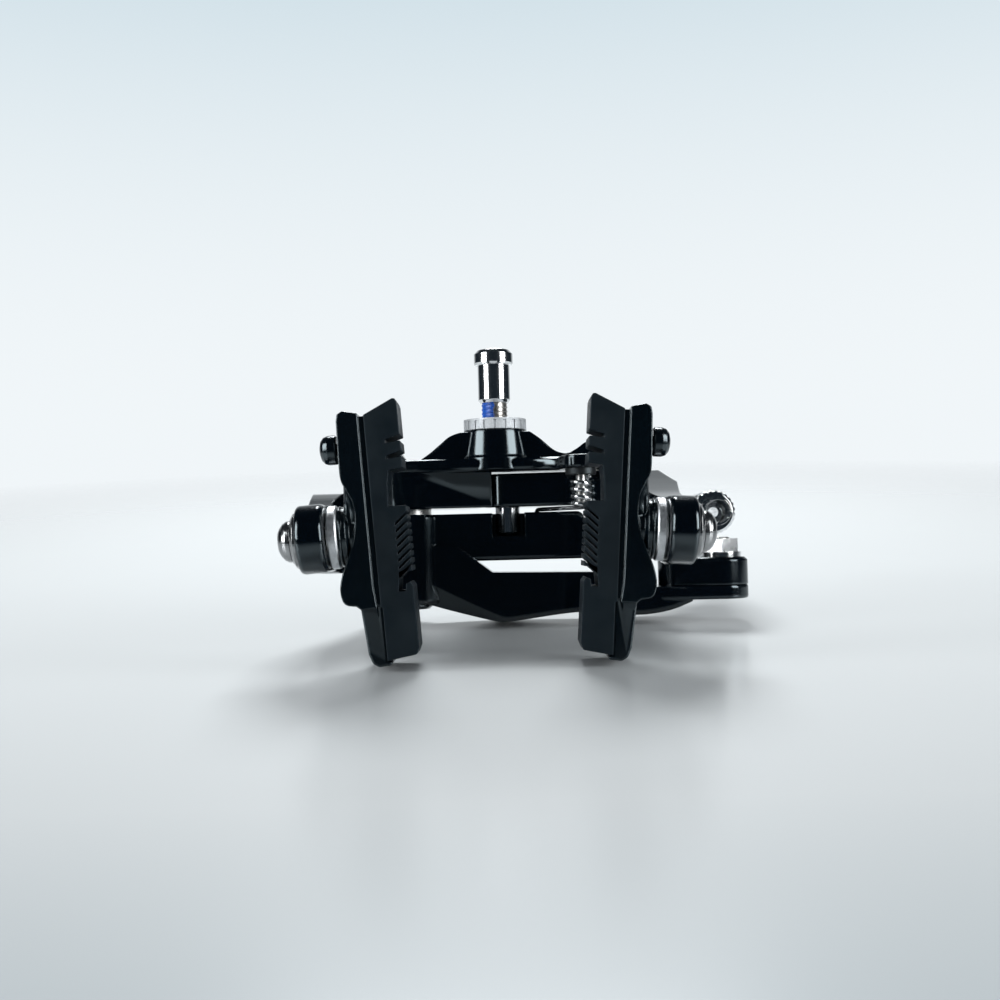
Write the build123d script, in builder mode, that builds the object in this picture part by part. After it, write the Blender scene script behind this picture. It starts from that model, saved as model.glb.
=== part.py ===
"""Dual-pivot caliper brake.

The frame: the origin is on the mounting bolt's axis, at the face that meets the fork or
the frame. +Z is the bolt's axis, towards the fork. -Y is towards the rim, and +X is the
side that the brake cable comes down.
"""

from build123d import *
import math
import os

os.makedirs("parts", exist_ok=True)

# Mounting bolt and its sleeve nut
BOLT_R = 3.0
THREAD_GAP = 0.05
NUT_LOW = 4.1
NUT_BODY_R = 3.9
NUT_LENGTH = 12.9
NUT_FLANGE_R = 4.75
NUT_FLANGE_T = 3.6
NUT_HEX = 5.0
NUT_HEX_DEPTH = 4.5
BOLT_HEAD_R = 5.0
BOLT_HEAD_T = 3.3
BOLT_HEX = 4.0
HEAD_GAP = 0.2

# Serrated washer
WASHER_R = 7.6
WASHER_T = 2.6
RIM_R = 5.3
RIM_T = 0.5
SERRATIONS = 20
SERRATION_D = 0.5

# Bracket that carries both pivots
LEFT_PIVOT_X = -22.5
RIGHT_PIVOT_X = 27.5
BOSS_TOP_R = 7.7
BOSS_LOW_R = 8.6
BRACKET_T = 10.4
BRACKET_HALF_Y = 7.5
PIVOT_BOSS_R = 8.0
PIVOT_BOSS_DROP = 3.0
SHOULDER_X = 10.6
SHOULDER_DROP = 1.4
WING_T = 3.8
BEAM_HALF_Y = 6.4
SPOT_FACE = 0.4

# Pivots
PIVOT_SHOULDER_R = 4.0
PIVOT_THREAD_R = 3.0
PIVOT_THREAD_L = 7.0
PIVOT_HEAD_R = 6.3
PIVOT_HEAD_T = 3.1
PIVOT_HEX = 5.0
RUN_GAP = 0.05
END_GAP = 0.1
BUSH_T = 1.0
LEFT_THRUST_T = 1.4
RIGHT_THRUST_T = 0.8
THRUST_R = 6.5

# Y-arm, the rear one: inner lobe, hub, lower limb and upper limb
ARM_GAP = 0.4
Y_ARM_T = 8.0
Y_HUB_R = 10.5
LOBE_R = 5.8

# Link pin between the arms
LINK_R = 3.0
LINK_REACH = 6.8
LINK_STEM_R = 2.0
LINK_SLIDE = 1.0
LINK_CHAMFER = 0.8
LINK_CLEAR = 0.12

# C-arm, the front one: hub, rear lobe, front beam and lower limb
C_HUB_R = 10.0
C_LOBE_T = 11.5
C_LOBE_TIP_X = 19.5
C_LOBE_HALF_Y = 6.5
FRONT_GAP_T = 2.9
C_HUB_T = 21.2
BEAM_KEEL_T = 11.6
BEAM_NEAR_Y = -7.0
BEAM_FAR_Y = 6.0

# Pad bosses and the slots that set the height of the pads
REACH = 44.0
REACH_TRAVEL = 5.0
PAD_X = 38.5
PAD_Z = -28.3
TOE_IN = 4.0
ARM_END_T = 7.0
ARM_END_HALF_Z = 8.0
ARM_END_HALF_Y = 11.2
STUD_R = 3.0
SLOT_GAP = 0.2
LIMB_OUT_X = 42.0
LIMB_IN_X = 35.2

# Washers and bolt of a pad
BALL_R = 12.0
DISH_R = 6.6
INNER_STACK_T = 3.1
CUP_EDGE_T = 2.2
OUTER_WASHER_R = 6.0
OUTER_WASHER_T = 1.5
PAD_HEAD_R = 4.6
PAD_HEAD_T = 2.9
PAD_HEX = 4.0
STUD_IN_HOLDER = 5.4

# Pad holder and rubber
PAD_LENGTH = 54.6
PAD_HALF_Y = 5.5
HOLDER_BACK_T = 1.6
HOLDER_STRIP_T = 5.0
HOLDER_WAIST_T = 2.4
HOLDER_BOSS_R = 6.2
RUBBER_T = 7.5
RUBBER_TIP = 1.4
RIB_PITCH = 1.7
RIB_COUNT = 9
SCREW_W = 17.5
SCREW_NECK_R = 1.8
SCREW_HEAD_R = 3.2
SCREW_HEAD_T = 2.9
SCREW_HEAD_OFF = 0.5
SCREW_NECK_L = 4.8

# Cable side: anchor, release lever and adjuster
CABLE_X = 54.4
ANCHOR_Y = -2.0
ANCHOR_X = 53.4
ARM_TIP_R = 6.6
ARM_TIP_T = 3.4
ANCHOR_R = 2.5
ANCHOR_HEAD_R = 4.0
ANCHOR_HEAD_T = 1.6
LEVER_T = 6.5
LEVER_R = 6.6
LEVER_REACH = 15.0
LEVER_END_R = 4.5
CLAMP_R = 5.1
CLAMP_T = 1.2
ANCHOR_NUT_AF = 8.0
ANCHOR_NUT_T = 3.2
STUD_PROUD = 0.4
ADJUSTER_DROP = 23.6
ADJUSTER_BOSS_R = 5.5
ADJUSTER_BOSS_Y = 19.0
ADJUSTER_BOSS_L = 12.0
SCREW_R = 3.0
ADJUSTER_TRAVEL = 4.0
KNOB_R = 5.5
KNOB_T = 4.2
KNOB_FLUTES = 24
KNOB_FLUTE_D = 0.35
MOUTH_R = 3.4
MOUTH_BORE_R = 2.9
MOUTH_L = 6.0
KNOB_GAP = 4.4
KNOB_CLEAR = 1.4
CABLE_BORE_R = 1.3
HOUSING_SEAT_R = 2.55
HOUSING_SEAT_L = 6.0
FERRULE_R = 4.3
FERRULE_L = 8.0
NOSE_R = 2.0
NOSE_L = 3.0
SCREW_PROUD = 0.4
SET_SCREW_R = 1.5
SET_SCREW_HEX = 1.5

# Return spring and its post
SPRING_X = 19.7
SPRING_Y = -14.0
WIRE_R = 0.5
COIL_R = 2.1
COIL_TOP = -15.5
LEG_Z = -22.1
HOOK_X = 9.5
HOOK_Y = 0.5
HOOK_SLIDE = 5.2
HOOK_DEPTH = 3.0
LEG_GAP = 0.3
POST_R = 1.2
SEAT_T = 1.6
SEAT_FLANGE_R = 3.6
TAB_T = 3.0
TAB_R = 4.6

# Levels along the bolt, worked out from the values above
BRACKET_TOP = -WASHER_T
BRACKET_LOW = BRACKET_TOP - BRACKET_T
Y_ARM_TOP = BRACKET_LOW - ARM_GAP
Y_ARM_LOW = Y_ARM_TOP - Y_ARM_T
C_ARM_TOP = Y_ARM_LOW - LEFT_THRUST_T
C_LOBE_LOW = C_ARM_TOP - C_LOBE_T
BEAM_TOP = C_LOBE_LOW - FRONT_GAP_T
BEAM_LOW = BEAM_TOP - BEAM_KEEL_T
C_HUB_LOW = C_ARM_TOP - C_HUB_T
LINK_X = (LEFT_PIVOT_X + RIGHT_PIVOT_X) / 2
LINK_LOW = Y_ARM_LOW - LINK_REACH
ADJUSTER_Z = -ADJUSTER_DROP
ARM_TIP_LOW = -44.6
ARM_TIP_TOP = ARM_TIP_LOW + ARM_TIP_T
LEVER_TOP = ARM_TIP_TOP + LEVER_T
PAD_Y = -REACH

# Planes of the right pad: its stud's axis is square to the toed-in boss
TOE = math.radians(TOE_IN)
PAD_POINT = Vector(PAD_X, PAD_Y, PAD_Z)
PAD_OUT = Vector(math.cos(TOE), 0, -math.sin(TOE))
PAD_SIDE = Plane(origin=PAD_POINT, x_dir=PAD_OUT, z_dir=(0, -1, 0))


def stud_plane(distance):
    """Plane square to the pad's stud, this far outward from the middle of the arm."""
    return Plane(origin=PAD_POINT + PAD_OUT * distance, x_dir=(0, 1, 0), z_dir=PAD_OUT)


def ring(radius, bore):
    """Sketch of a disc with a round hole."""
    Circle(radius)
    Circle(bore, mode=Mode.SUBTRACT)


def outline(*points, corner=0.0):
    """Closed sketch through these points, with rounded corners where a radius is given."""
    with BuildLine() as border:
        if corner:
            FilletPolyline(*points, radius=corner, close=True)
        else:
            Polyline(*points, close=True)
    make_face(border.edges())


# Mounting bolt: round head with a hexagon socket, and a long shank
with BuildPart() as mounting_bolt:
    head_low = BRACKET_LOW + HEAD_GAP
    with BuildSketch(Plane.XY.offset(head_low)):
        Circle(BOLT_HEAD_R)
    extrude(amount=BOLT_HEAD_T)
    fillet(mounting_bolt.edges().sort_by(Axis.Z)[0], 0.6)
    with BuildSketch(Plane.XY.offset(head_low)):
        RegularPolygon(BOLT_HEX / 2, 6, major_radius=False)
    extrude(amount=BOLT_HEAD_T * 0.6, mode=Mode.SUBTRACT)
    with BuildSketch(Plane.XY.offset(head_low + BOLT_HEAD_T)):
        Circle(BOLT_R)
    extrude(amount=NUT_LOW + NUT_LENGTH - NUT_HEX_DEPTH - 0.5 - head_low - BOLT_HEAD_T)
    chamfer(mounting_bolt.edges().sort_by(Axis.Z)[-1], 0.6)
mounting_bolt.part.label = "mounting_bolt"
export_step(mounting_bolt.part, "parts/mounting_bolt.step")

# Sleeve nut: it passes through the fork crown from behind
with BuildPart() as sleeve_nut:
    nut_top = NUT_LOW + NUT_LENGTH
    with BuildSketch(Plane.XZ):
        outline(
            (BOLT_R + THREAD_GAP, NUT_LOW),
            (NUT_BODY_R - 0.5, NUT_LOW),
            (NUT_BODY_R, NUT_LOW + 0.8),
            (NUT_BODY_R, nut_top - NUT_FLANGE_T),
            (NUT_FLANGE_R - 0.2, nut_top - NUT_FLANGE_T),
            (NUT_FLANGE_R, nut_top - NUT_FLANGE_T + 0.5),
            (NUT_FLANGE_R, nut_top - 0.9),
            (NUT_FLANGE_R - 0.8, nut_top),
            (BOLT_R + THREAD_GAP, nut_top),
        )
    revolve(axis=Axis.Z)
    with BuildSketch(Plane.XY.offset(nut_top - NUT_HEX_DEPTH)):
        Circle(BOLT_R + THREAD_GAP + 0.2)
        RegularPolygon(NUT_HEX / 2, 6, major_radius=False, mode=Mode.SUBTRACT)
    extrude(amount=NUT_HEX_DEPTH - 0.6)
sleeve_nut.part.label = "sleeve_nut"
export_step(sleeve_nut.part, "parts/sleeve_nut.step")

# Serrated washer: a raised outer rim bites on the fork
with BuildPart() as serrated_washer:
    with BuildSketch(Plane.XY.offset(-WASHER_T)):
        ring(WASHER_R, BOLT_R + THREAD_GAP)
    extrude(amount=WASHER_T - RIM_T)
    with BuildSketch(Plane.XY.offset(-RIM_T)):
        ring(WASHER_R, RIM_R)
    extrude(amount=RIM_T)
    with BuildSketch(Plane.XY.offset(-WASHER_T)):
        with PolarLocations(WASHER_R, SERRATIONS):
            Rectangle(SERRATION_D, SERRATION_D * 1.6)
    extrude(amount=WASHER_T - RIM_T, mode=Mode.SUBTRACT)
serrated_washer.part.label = "serrated_washer"
export_step(serrated_washer.part, "parts/serrated_washer.step")

# Bracket: cone boss on the bolt, wings that sweep down to the two pivot bosses, a deep
# beam on the left that brings the C-arm forward, and a tab with the spring's post
left_pivot_top = BRACKET_TOP - PIVOT_BOSS_DROP
wing_top = BRACKET_LOW + WING_T
with BuildPart() as bracket:
    for side, pivot_x in ((-1, LEFT_PIVOT_X), (1, RIGHT_PIVOT_X)):
        with BuildSketch(Plane.XZ):
            with BuildLine():
                shoulder = (side * SHOULDER_X, BRACKET_TOP - SHOULDER_DROP)
                wing_end = (pivot_x - side * PIVOT_BOSS_R * 0.6, wing_top)
                foot = (side * (SHOULDER_X + 6.5), wing_top + 0.9)
                Line((0, BRACKET_LOW), (0, shoulder[1]))
                Line((0, shoulder[1]), shoulder)
                sweep_down = TangentArc(shoulder, foot, tangent=(side * 0.5, -1))
                Line(foot, wing_end)
                Line(wing_end, (wing_end[0], BRACKET_LOW))
                Line((wing_end[0], BRACKET_LOW), (0, BRACKET_LOW))
            make_face()
        extrude(amount=BRACKET_HALF_Y, both=True)
        with BuildSketch(Plane.XY.offset(BRACKET_LOW)):
            with Locations((pivot_x, 0)):
                Circle(PIVOT_BOSS_R)
        extrude(amount=left_pivot_top - BRACKET_LOW)
    with BuildSketch(Plane.XZ):
        outline(
            (0, BRACKET_LOW),
            (BOSS_LOW_R, BRACKET_LOW),
            (BOSS_TOP_R, BRACKET_TOP),
            (0, BRACKET_TOP),
        )
    revolve(axis=Axis.Z)
    with BuildSketch(Plane.XY.offset(BRACKET_LOW)):
        with BuildLine():
            beam_in_x = LINK_X - LOBE_R - 1.4
            Line((beam_in_x, BEAM_HALF_Y), (LEFT_PIVOT_X, PIVOT_BOSS_R - 0.4))
            ThreePointArc(
                (LEFT_PIVOT_X, PIVOT_BOSS_R - 0.4),
                (LEFT_PIVOT_X - PIVOT_BOSS_R + 0.4, 0),
                (LEFT_PIVOT_X, 0.4 - PIVOT_BOSS_R),
            )
            Line((LEFT_PIVOT_X, 0.4 - PIVOT_BOSS_R), (beam_in_x, -BEAM_HALF_Y))
            Line((beam_in_x, -BEAM_HALF_Y), (beam_in_x, BEAM_HALF_Y))
        make_face()
    extrude(amount=Y_ARM_LOW - BRACKET_LOW)
    with BuildSketch(Plane.XY.offset(BRACKET_LOW)):
        with BuildLine():
            Polyline(
                (SPRING_X - TAB_R, SPRING_Y),
                (SPRING_X - TAB_R - 1.5, -2),
                (SPRING_X + TAB_R, -2),
                (SPRING_X + TAB_R, SPRING_Y),
            )
            ThreePointArc(
                (SPRING_X + TAB_R, SPRING_Y),
                (SPRING_X, SPRING_Y - TAB_R),
                (SPRING_X - TAB_R, SPRING_Y),
            )
        make_face()
    extrude(amount=TAB_T)
    with BuildSketch(Plane.XY.offset(BRACKET_LOW)):
        Circle(BOLT_HEAD_R + HEAD_GAP)
    extrude(amount=BOLT_HEAD_T + HEAD_GAP, mode=Mode.SUBTRACT)
    Hole(BOLT_R + THREAD_GAP)
    with BuildSketch(Plane.XY.offset(BRACKET_LOW)):
        with Locations((RIGHT_PIVOT_X, 0)):
            Circle(THRUST_R + HEAD_GAP)
    extrude(amount=SPOT_FACE, mode=Mode.SUBTRACT)
    for pivot_x, mouth in ((LEFT_PIVOT_X, Y_ARM_LOW), (RIGHT_PIVOT_X, BRACKET_LOW + SPOT_FACE)):
        with BuildSketch(Plane.XY.offset(mouth)):
            with Locations((pivot_x, 0)):
                Circle(PIVOT_THREAD_R + THREAD_GAP)
        thread_depth = min(PIVOT_THREAD_L + THREAD_GAP, left_pivot_top - mouth)
        extrude(amount=thread_depth, mode=Mode.SUBTRACT)
    with BuildSketch(Plane.XY.offset(BRACKET_LOW)):
        with Locations((SPRING_X, SPRING_Y)):
            Circle(POST_R)
        with Locations((SPRING_X + COIL_R, SPRING_Y)):
            Circle(WIRE_R + 0.1)
    extrude(amount=TAB_T, mode=Mode.SUBTRACT)
bracket.part.label = "bracket"
export_step(bracket.part, "parts/bracket.step")

# Pivot bolts, bushes and thrust washers of both arms
PIVOTS = {
    "left": (LEFT_PIVOT_X, Y_ARM_LOW, LEFT_THRUST_T, C_HUB_LOW),
    "right": (RIGHT_PIVOT_X, BRACKET_LOW + SPOT_FACE, RIGHT_THRUST_T, Y_ARM_LOW),
}
for side, (pivot_x, seat, thrust_t, hub_low) in PIVOTS.items():
    shoulder_low = hub_low - END_GAP
    with BuildPart() as pivot_bolt:
        with BuildSketch(Plane.XY.offset(shoulder_low)):
            with Locations((pivot_x, 0)):
                Circle(PIVOT_SHOULDER_R)
        extrude(amount=seat - shoulder_low)
        with BuildSketch(Plane.XY.offset(seat)):
            with Locations((pivot_x, 0)):
                Circle(PIVOT_THREAD_R)
        extrude(amount=min(PIVOT_THREAD_L, left_pivot_top - seat))
        with BuildSketch(Plane.XY.offset(shoulder_low - PIVOT_HEAD_T)):
            with Locations((pivot_x, 0)):
                Circle(PIVOT_HEAD_R)
        extrude(amount=PIVOT_HEAD_T)
        fillet(pivot_bolt.edges().sort_by(Axis.Z)[0], 1.0)
        with BuildSketch(Plane.XY.offset(shoulder_low - PIVOT_HEAD_T)):
            with Locations((pivot_x, 0)):
                RegularPolygon(PIVOT_HEX / 2, 6, major_radius=False)
        extrude(amount=PIVOT_HEAD_T * 0.8, mode=Mode.SUBTRACT)
    pivot_bolt.part.label = f"{side}_pivot_bolt"
    export_step(pivot_bolt.part, f"parts/{side}_pivot_bolt.step")

    with BuildPart() as thrust_washer:
        with BuildSketch(Plane.XY.offset(seat - thrust_t)):
            with Locations((pivot_x, 0)):
                ring(THRUST_R, PIVOT_SHOULDER_R + RUN_GAP)
        extrude(amount=thrust_t)
    thrust_washer.part.label = f"{side}_thrust_washer"
    export_step(thrust_washer.part, f"parts/{side}_thrust_washer.step")

    with BuildPart() as pivot_bush:
        with BuildSketch(Plane.XY.offset(hub_low)):
            with Locations((pivot_x, 0)):
                ring(PIVOT_SHOULDER_R + RUN_GAP + BUSH_T, PIVOT_SHOULDER_R + RUN_GAP)
        extrude(amount=seat - thrust_t - hub_low)
    pivot_bush.part.label = f"{side}_pivot_bush"
    export_step(pivot_bush.part, f"parts/{side}_pivot_bush.step")

BUSH_R = PIVOT_SHOULDER_R + RUN_GAP + BUSH_T
SLOT_HALF_W = STUD_R + SLOT_GAP


def arm_end():
    """Pad boss of the right arm: a rounded block square to the stud, with its slot."""
    with BuildPart(stud_plane(-ARM_END_T / 2)) as block:
        with BuildSketch(stud_plane(-ARM_END_T / 2)):
            RectangleRounded(2 * ARM_END_HALF_Y, 2 * ARM_END_HALF_Z, ARM_END_HALF_Z * 0.55)
        extrude(amount=ARM_END_T)
        fillet(block.faces().sort_by(Axis.X)[-1].edges(), 1.6)
    return block.part


def arm_slot():
    """Slot for the right pad's stud, as a solid to cut with."""
    with BuildPart() as slot:
        with BuildSketch(stud_plane(-ARM_END_T)):
            SlotCenterToCenter(2 * REACH_TRAVEL, 2 * SLOT_HALF_W)
        extrude(amount=2 * ARM_END_T)
    return slot.part


# Y-arm: hub on the right pivot, lobe with the link pin, lower limb to the right pad and
# upper limb to the adjuster
knob_low_z = ADJUSTER_Z - ADJUSTER_BOSS_R
with BuildPart() as y_arm:
    with BuildSketch(Plane.XY.offset(Y_ARM_LOW)):
        with Locations((RIGHT_PIVOT_X, 0)):
            Circle(Y_HUB_R)
        with BuildLine():
            Line((LINK_X, LOBE_R), (RIGHT_PIVOT_X, Y_HUB_R - 1.5))
            Line((RIGHT_PIVOT_X, Y_HUB_R - 1.5), (RIGHT_PIVOT_X, 1.5 - Y_HUB_R))
            Line((RIGHT_PIVOT_X, 1.5 - Y_HUB_R), (LINK_X, -LOBE_R))
            ThreePointArc((LINK_X, -LOBE_R), (LINK_X - LOBE_R, 0), (LINK_X, LOBE_R))
        make_face()
    extrude(amount=Y_ARM_T)
    with BuildPart(mode=Mode.PRIVATE) as lower_limb:
        with BuildSketch(Plane.XY.offset(-60)):
            outline(
                (RIGHT_PIVOT_X + 10.2, 3),
                (LIMB_OUT_X + 0.2, -15),
                (LIMB_OUT_X - 0.2, -31),
                (LIMB_OUT_X - 0.7, -34),
                (LIMB_OUT_X - 0.7, PAD_Y + 2),
                (LIMB_IN_X + 0.5, PAD_Y + 2),
                (LIMB_IN_X + 0.4, -35),
                (LIMB_IN_X - 0.4, -30),
                (33.2, -21),
                (RIGHT_PIVOT_X - 1.5, -9.6),
                (RIGHT_PIVOT_X - 4, 0),
                corner=0.6,
            )
        extrude(amount=60)
        with BuildSketch(Plane.YZ):
            outline(
                (PAD_Y, PAD_Z + ARM_END_HALF_Z - 0.6),
                (-32, PAD_Z + ARM_END_HALF_Z + 0.2),
                (-13, Y_ARM_TOP),
                (8, Y_ARM_TOP),
                (8, Y_ARM_LOW),
                (-9, Y_ARM_LOW),
                (-32, PAD_Z - ARM_END_HALF_Z),
                (PAD_Y, PAD_Z - ARM_END_HALF_Z + 0.6),
            )
        extrude(amount=60, mode=Mode.INTERSECT)
    add(lower_limb.part)
    with BuildPart(mode=Mode.PRIVATE) as upper_limb:
        with BuildSketch(Plane.XY.offset(-60)):
            outline(
                (RIGHT_PIVOT_X - 7, 5),
                (43, ADJUSTER_BOSS_Y + ADJUSTER_BOSS_L),
                (CABLE_X + ADJUSTER_BOSS_R - 1, ADJUSTER_BOSS_Y + ADJUSTER_BOSS_L),
                (CABLE_X + ADJUSTER_BOSS_R - 1, ADJUSTER_BOSS_Y),
                (CABLE_X - KNOB_R - KNOB_CLEAR, ADJUSTER_BOSS_Y),
                (RIGHT_PIVOT_X + 10, 1),
                corner=0.8,
            )
        extrude(amount=60)
        with BuildSketch(Plane.XZ):
            outline(
                (RIGHT_PIVOT_X - 8, Y_ARM_TOP),
                (RIGHT_PIVOT_X + 3, Y_ARM_TOP),
                (CABLE_X - 8, ADJUSTER_Z + ADJUSTER_BOSS_R - 0.6),
                (CABLE_X, ADJUSTER_Z + ADJUSTER_BOSS_R - 1.2),
                (CABLE_X + 6, ADJUSTER_Z + 1),
                (CABLE_X + 6, ADJUSTER_Z - 1),
                (CABLE_X, knob_low_z + 1.2),
                (CABLE_X - 8, knob_low_z + 0.8),
                (RIGHT_PIVOT_X + 7, Y_ARM_LOW),
                (RIGHT_PIVOT_X - 8, Y_ARM_LOW),
            )
        extrude(amount=60, both=True, mode=Mode.INTERSECT)
    add(upper_limb.part)
    with BuildSketch(Plane.XZ.offset(-ADJUSTER_BOSS_Y)):
        with Locations((CABLE_X, ADJUSTER_Z)):
            Circle(ADJUSTER_BOSS_R)
    extrude(amount=-ADJUSTER_BOSS_L)
    add(arm_end())
    add(arm_slot(), mode=Mode.SUBTRACT)
    with BuildSketch(Plane.XY.offset(Y_ARM_LOW)):
        with Locations((RIGHT_PIVOT_X, 0)):
            Circle(BUSH_R)
        with Locations((LINK_X, 0)):
            Circle(LINK_STEM_R)
    extrude(amount=Y_ARM_T, mode=Mode.SUBTRACT)
    with BuildSketch(Plane.XZ.offset(-ADJUSTER_BOSS_Y)):
        with Locations((CABLE_X, ADJUSTER_Z)):
            Circle(SCREW_R + THREAD_GAP)
    extrude(amount=-ADJUSTER_BOSS_L, mode=Mode.SUBTRACT)
y_arm.part.label = "y_arm"
export_step(y_arm.part, "parts/y_arm.step")

# Link pin: pressed in the Y-arm's lobe, it makes the C-arm turn as far as the Y-arm
with BuildPart() as link_pin:
    with BuildSketch(Plane.XY.offset(LINK_LOW)):
        with Locations((LINK_X, 0)):
            Circle(LINK_R)
    extrude(amount=LINK_REACH)
    chamfer(link_pin.edges().sort_by(Axis.Z)[0], LINK_CHAMFER)
    with BuildSketch(Plane.XY.offset(Y_ARM_LOW)):
        with Locations((LINK_X, 0)):
            Circle(LINK_STEM_R)
    extrude(amount=Y_ARM_T)
link_pin.part.label = "link_pin"
export_step(link_pin.part, "parts/link_pin.step")

# C-arm: hub on the left pivot, rear lobe with the notch for the link pin, front beam to
# the anchor, and lower limb to the left pad
with BuildPart() as c_arm:
    with BuildSketch(Plane.XY.offset(C_HUB_LOW)):
        with Locations((LEFT_PIVOT_X, 0)):
            Circle(C_HUB_R)
    extrude(amount=C_HUB_T)
    with BuildPart(mode=Mode.PRIVATE) as rear_lobe:
        with BuildSketch(Plane.XY.offset(-60)):
            outline(
                (LEFT_PIVOT_X, C_HUB_R - 1),
                (C_LOBE_TIP_X - 3, C_LOBE_HALF_Y),
                (C_LOBE_TIP_X, C_LOBE_HALF_Y - 3),
                (C_LOBE_TIP_X, 3 - C_LOBE_HALF_Y),
                (C_LOBE_TIP_X - 3, -C_LOBE_HALF_Y),
                (LEFT_PIVOT_X, 1 - C_HUB_R),
                corner=1.0,
            )
        extrude(amount=60)
        with BuildSketch(Plane.XZ):
            outline(
                (LEFT_PIVOT_X, C_ARM_TOP),
                (C_LOBE_TIP_X + 1, C_ARM_TOP),
                (C_LOBE_TIP_X + 1, C_LOBE_LOW + 4),
                (C_LOBE_TIP_X - 7, C_LOBE_LOW),
                (-2, C_LOBE_LOW),
                (-10, C_LOBE_LOW + 1.5),
                (LEFT_PIVOT_X, C_LOBE_LOW + 1.5),
            )
        extrude(amount=30, both=True, mode=Mode.INTERSECT)
    add(rear_lobe.part)
    with BuildPart(mode=Mode.PRIVATE) as front_beam:
        with BuildSketch(Plane.XY.offset(-60)):
            outline(
                (LEFT_PIVOT_X - 4, C_HUB_R - 1.2),
                (0, BEAM_FAR_Y + 1),
                (30, BEAM_FAR_Y + 1.6),
                (ANCHOR_X, ANCHOR_Y + ARM_TIP_R),
                (ANCHOR_X + ARM_TIP_R * 0.72, ANCHOR_Y + ARM_TIP_R * 0.72),
                (ANCHOR_X + ARM_TIP_R, ANCHOR_Y),
                (ANCHOR_X + ARM_TIP_R * 0.72, ANCHOR_Y - ARM_TIP_R * 0.72),
                (ANCHOR_X, ANCHOR_Y - ARM_TIP_R),
                (34, BEAM_NEAR_Y - 2.5),
                (4, BEAM_NEAR_Y),
                (-12, BEAM_NEAR_Y - 2),
                (LEFT_PIVOT_X - 4, -C_HUB_R),
                corner=2.0,
            )
        extrude(amount=60)
        with BuildSketch(Plane.XZ):
            with BuildLine():
                Line((LEFT_PIVOT_X - 5, C_HUB_LOW + 1.6), (3, BEAM_LOW))
                Spline(
                    (3, BEAM_LOW),
                    (22, BEAM_LOW + 1.6),
                    (36, BEAM_LOW + 1.4),
                    (48, ARM_TIP_LOW),
                    tangents=((1, 0), (1, 0)),
                )
                Line((48, ARM_TIP_LOW), (ANCHOR_X + ARM_TIP_R + 1, ARM_TIP_LOW))
                Line(
                    (ANCHOR_X + ARM_TIP_R + 1, ARM_TIP_LOW),
                    (ANCHOR_X + ARM_TIP_R + 1, ARM_TIP_TOP),
                )
                Line((ANCHOR_X + ARM_TIP_R + 1, ARM_TIP_TOP), (36.5, ARM_TIP_TOP))
                Line((36.5, ARM_TIP_TOP), (34, BEAM_TOP - 0.6))
                Line((34, BEAM_TOP - 0.6), (1.5, BEAM_TOP))
                Line((1.5, BEAM_TOP), (-2, C_LOBE_LOW - 0.4))
                Line((-2, C_LOBE_LOW - 0.4), (-9.5, C_LOBE_LOW + 4))
                Line((-9.5, C_LOBE_LOW + 4), (LEFT_PIVOT_X - 5, C_LOBE_LOW + 4))
                Line((LEFT_PIVOT_X - 5, C_LOBE_LOW + 4), (LEFT_PIVOT_X - 5, C_HUB_LOW + 1.6))
            make_face()
        extrude(amount=30, both=True, mode=Mode.INTERSECT)
    add(front_beam.part)
    with BuildPart(mode=Mode.PRIVATE) as left_limb:
        with BuildSketch(Plane.XY.offset(-60)):
            outline(
                (LEFT_PIVOT_X - 9.6, 5),
                (-LIMB_OUT_X - 0.2, -15),
                (0.2 - LIMB_OUT_X, -31),
                (0.7 - LIMB_OUT_X, -34),
                (0.7 - LIMB_OUT_X, PAD_Y + 2),
                (-LIMB_IN_X - 0.5, PAD_Y + 2),
                (-LIMB_IN_X - 0.4, -35),
                (0.4 - LIMB_IN_X, -30),
                (-33.2, -21),
                (-27, -10.5),
                (-16, -9.4),
                (-16, 0),
                corner=0.6,
            )
        extrude(amount=60)
        with BuildSketch(Plane.YZ):
            outline(
                (PAD_Y, PAD_Z + ARM_END_HALF_Z - 0.6),
                (-32, PAD_Z + ARM_END_HALF_Z + 0.2),
                (-10, C_ARM_TOP),
                (8, C_ARM_TOP),
                (8, C_HUB_LOW),
                (-8, C_HUB_LOW),
                (-32, PAD_Z - ARM_END_HALF_Z),
                (PAD_Y, PAD_Z - ARM_END_HALF_Z + 0.6),
            )
        extrude(amount=60, both=True, mode=Mode.INTERSECT)
    add(left_limb.part)
    add(mirror(arm_end(), about=Plane.YZ, mode=Mode.PRIVATE))
    add(mirror(arm_slot(), about=Plane.YZ, mode=Mode.PRIVATE), mode=Mode.SUBTRACT)
    with BuildSketch(Plane.XY.offset(C_HUB_LOW)):
        with Locations((LEFT_PIVOT_X, 0)):
            Circle(BUSH_R)
    extrude(amount=C_HUB_T, mode=Mode.SUBTRACT)
    with BuildSketch(Plane.XY.offset(C_HUB_LOW)):
        with Locations((LEFT_PIVOT_X, 0)):
            Circle(PIVOT_HEAD_R + HEAD_GAP)
    extrude(amount=-15, mode=Mode.SUBTRACT)
    with BuildSketch(Plane.XY.offset(LINK_LOW - LINK_CLEAR)):
        with BuildLine():
            notch_x = LINK_R + LINK_SLIDE
            notch_y = LINK_R + LINK_CLEAR
            Line((LINK_X - notch_x, -15), (LINK_X - notch_x, notch_y - 2))
            RadiusArc((LINK_X - notch_x, notch_y - 2), (LINK_X - notch_x + 2, notch_y), 2)
            Line((LINK_X - notch_x + 2, notch_y), (LINK_X + notch_x - 2, notch_y))
            RadiusArc((LINK_X + notch_x - 2, notch_y), (LINK_X + notch_x, notch_y - 2), 2)
            Line((LINK_X + notch_x, notch_y - 2), (LINK_X + notch_x, -15))
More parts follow.
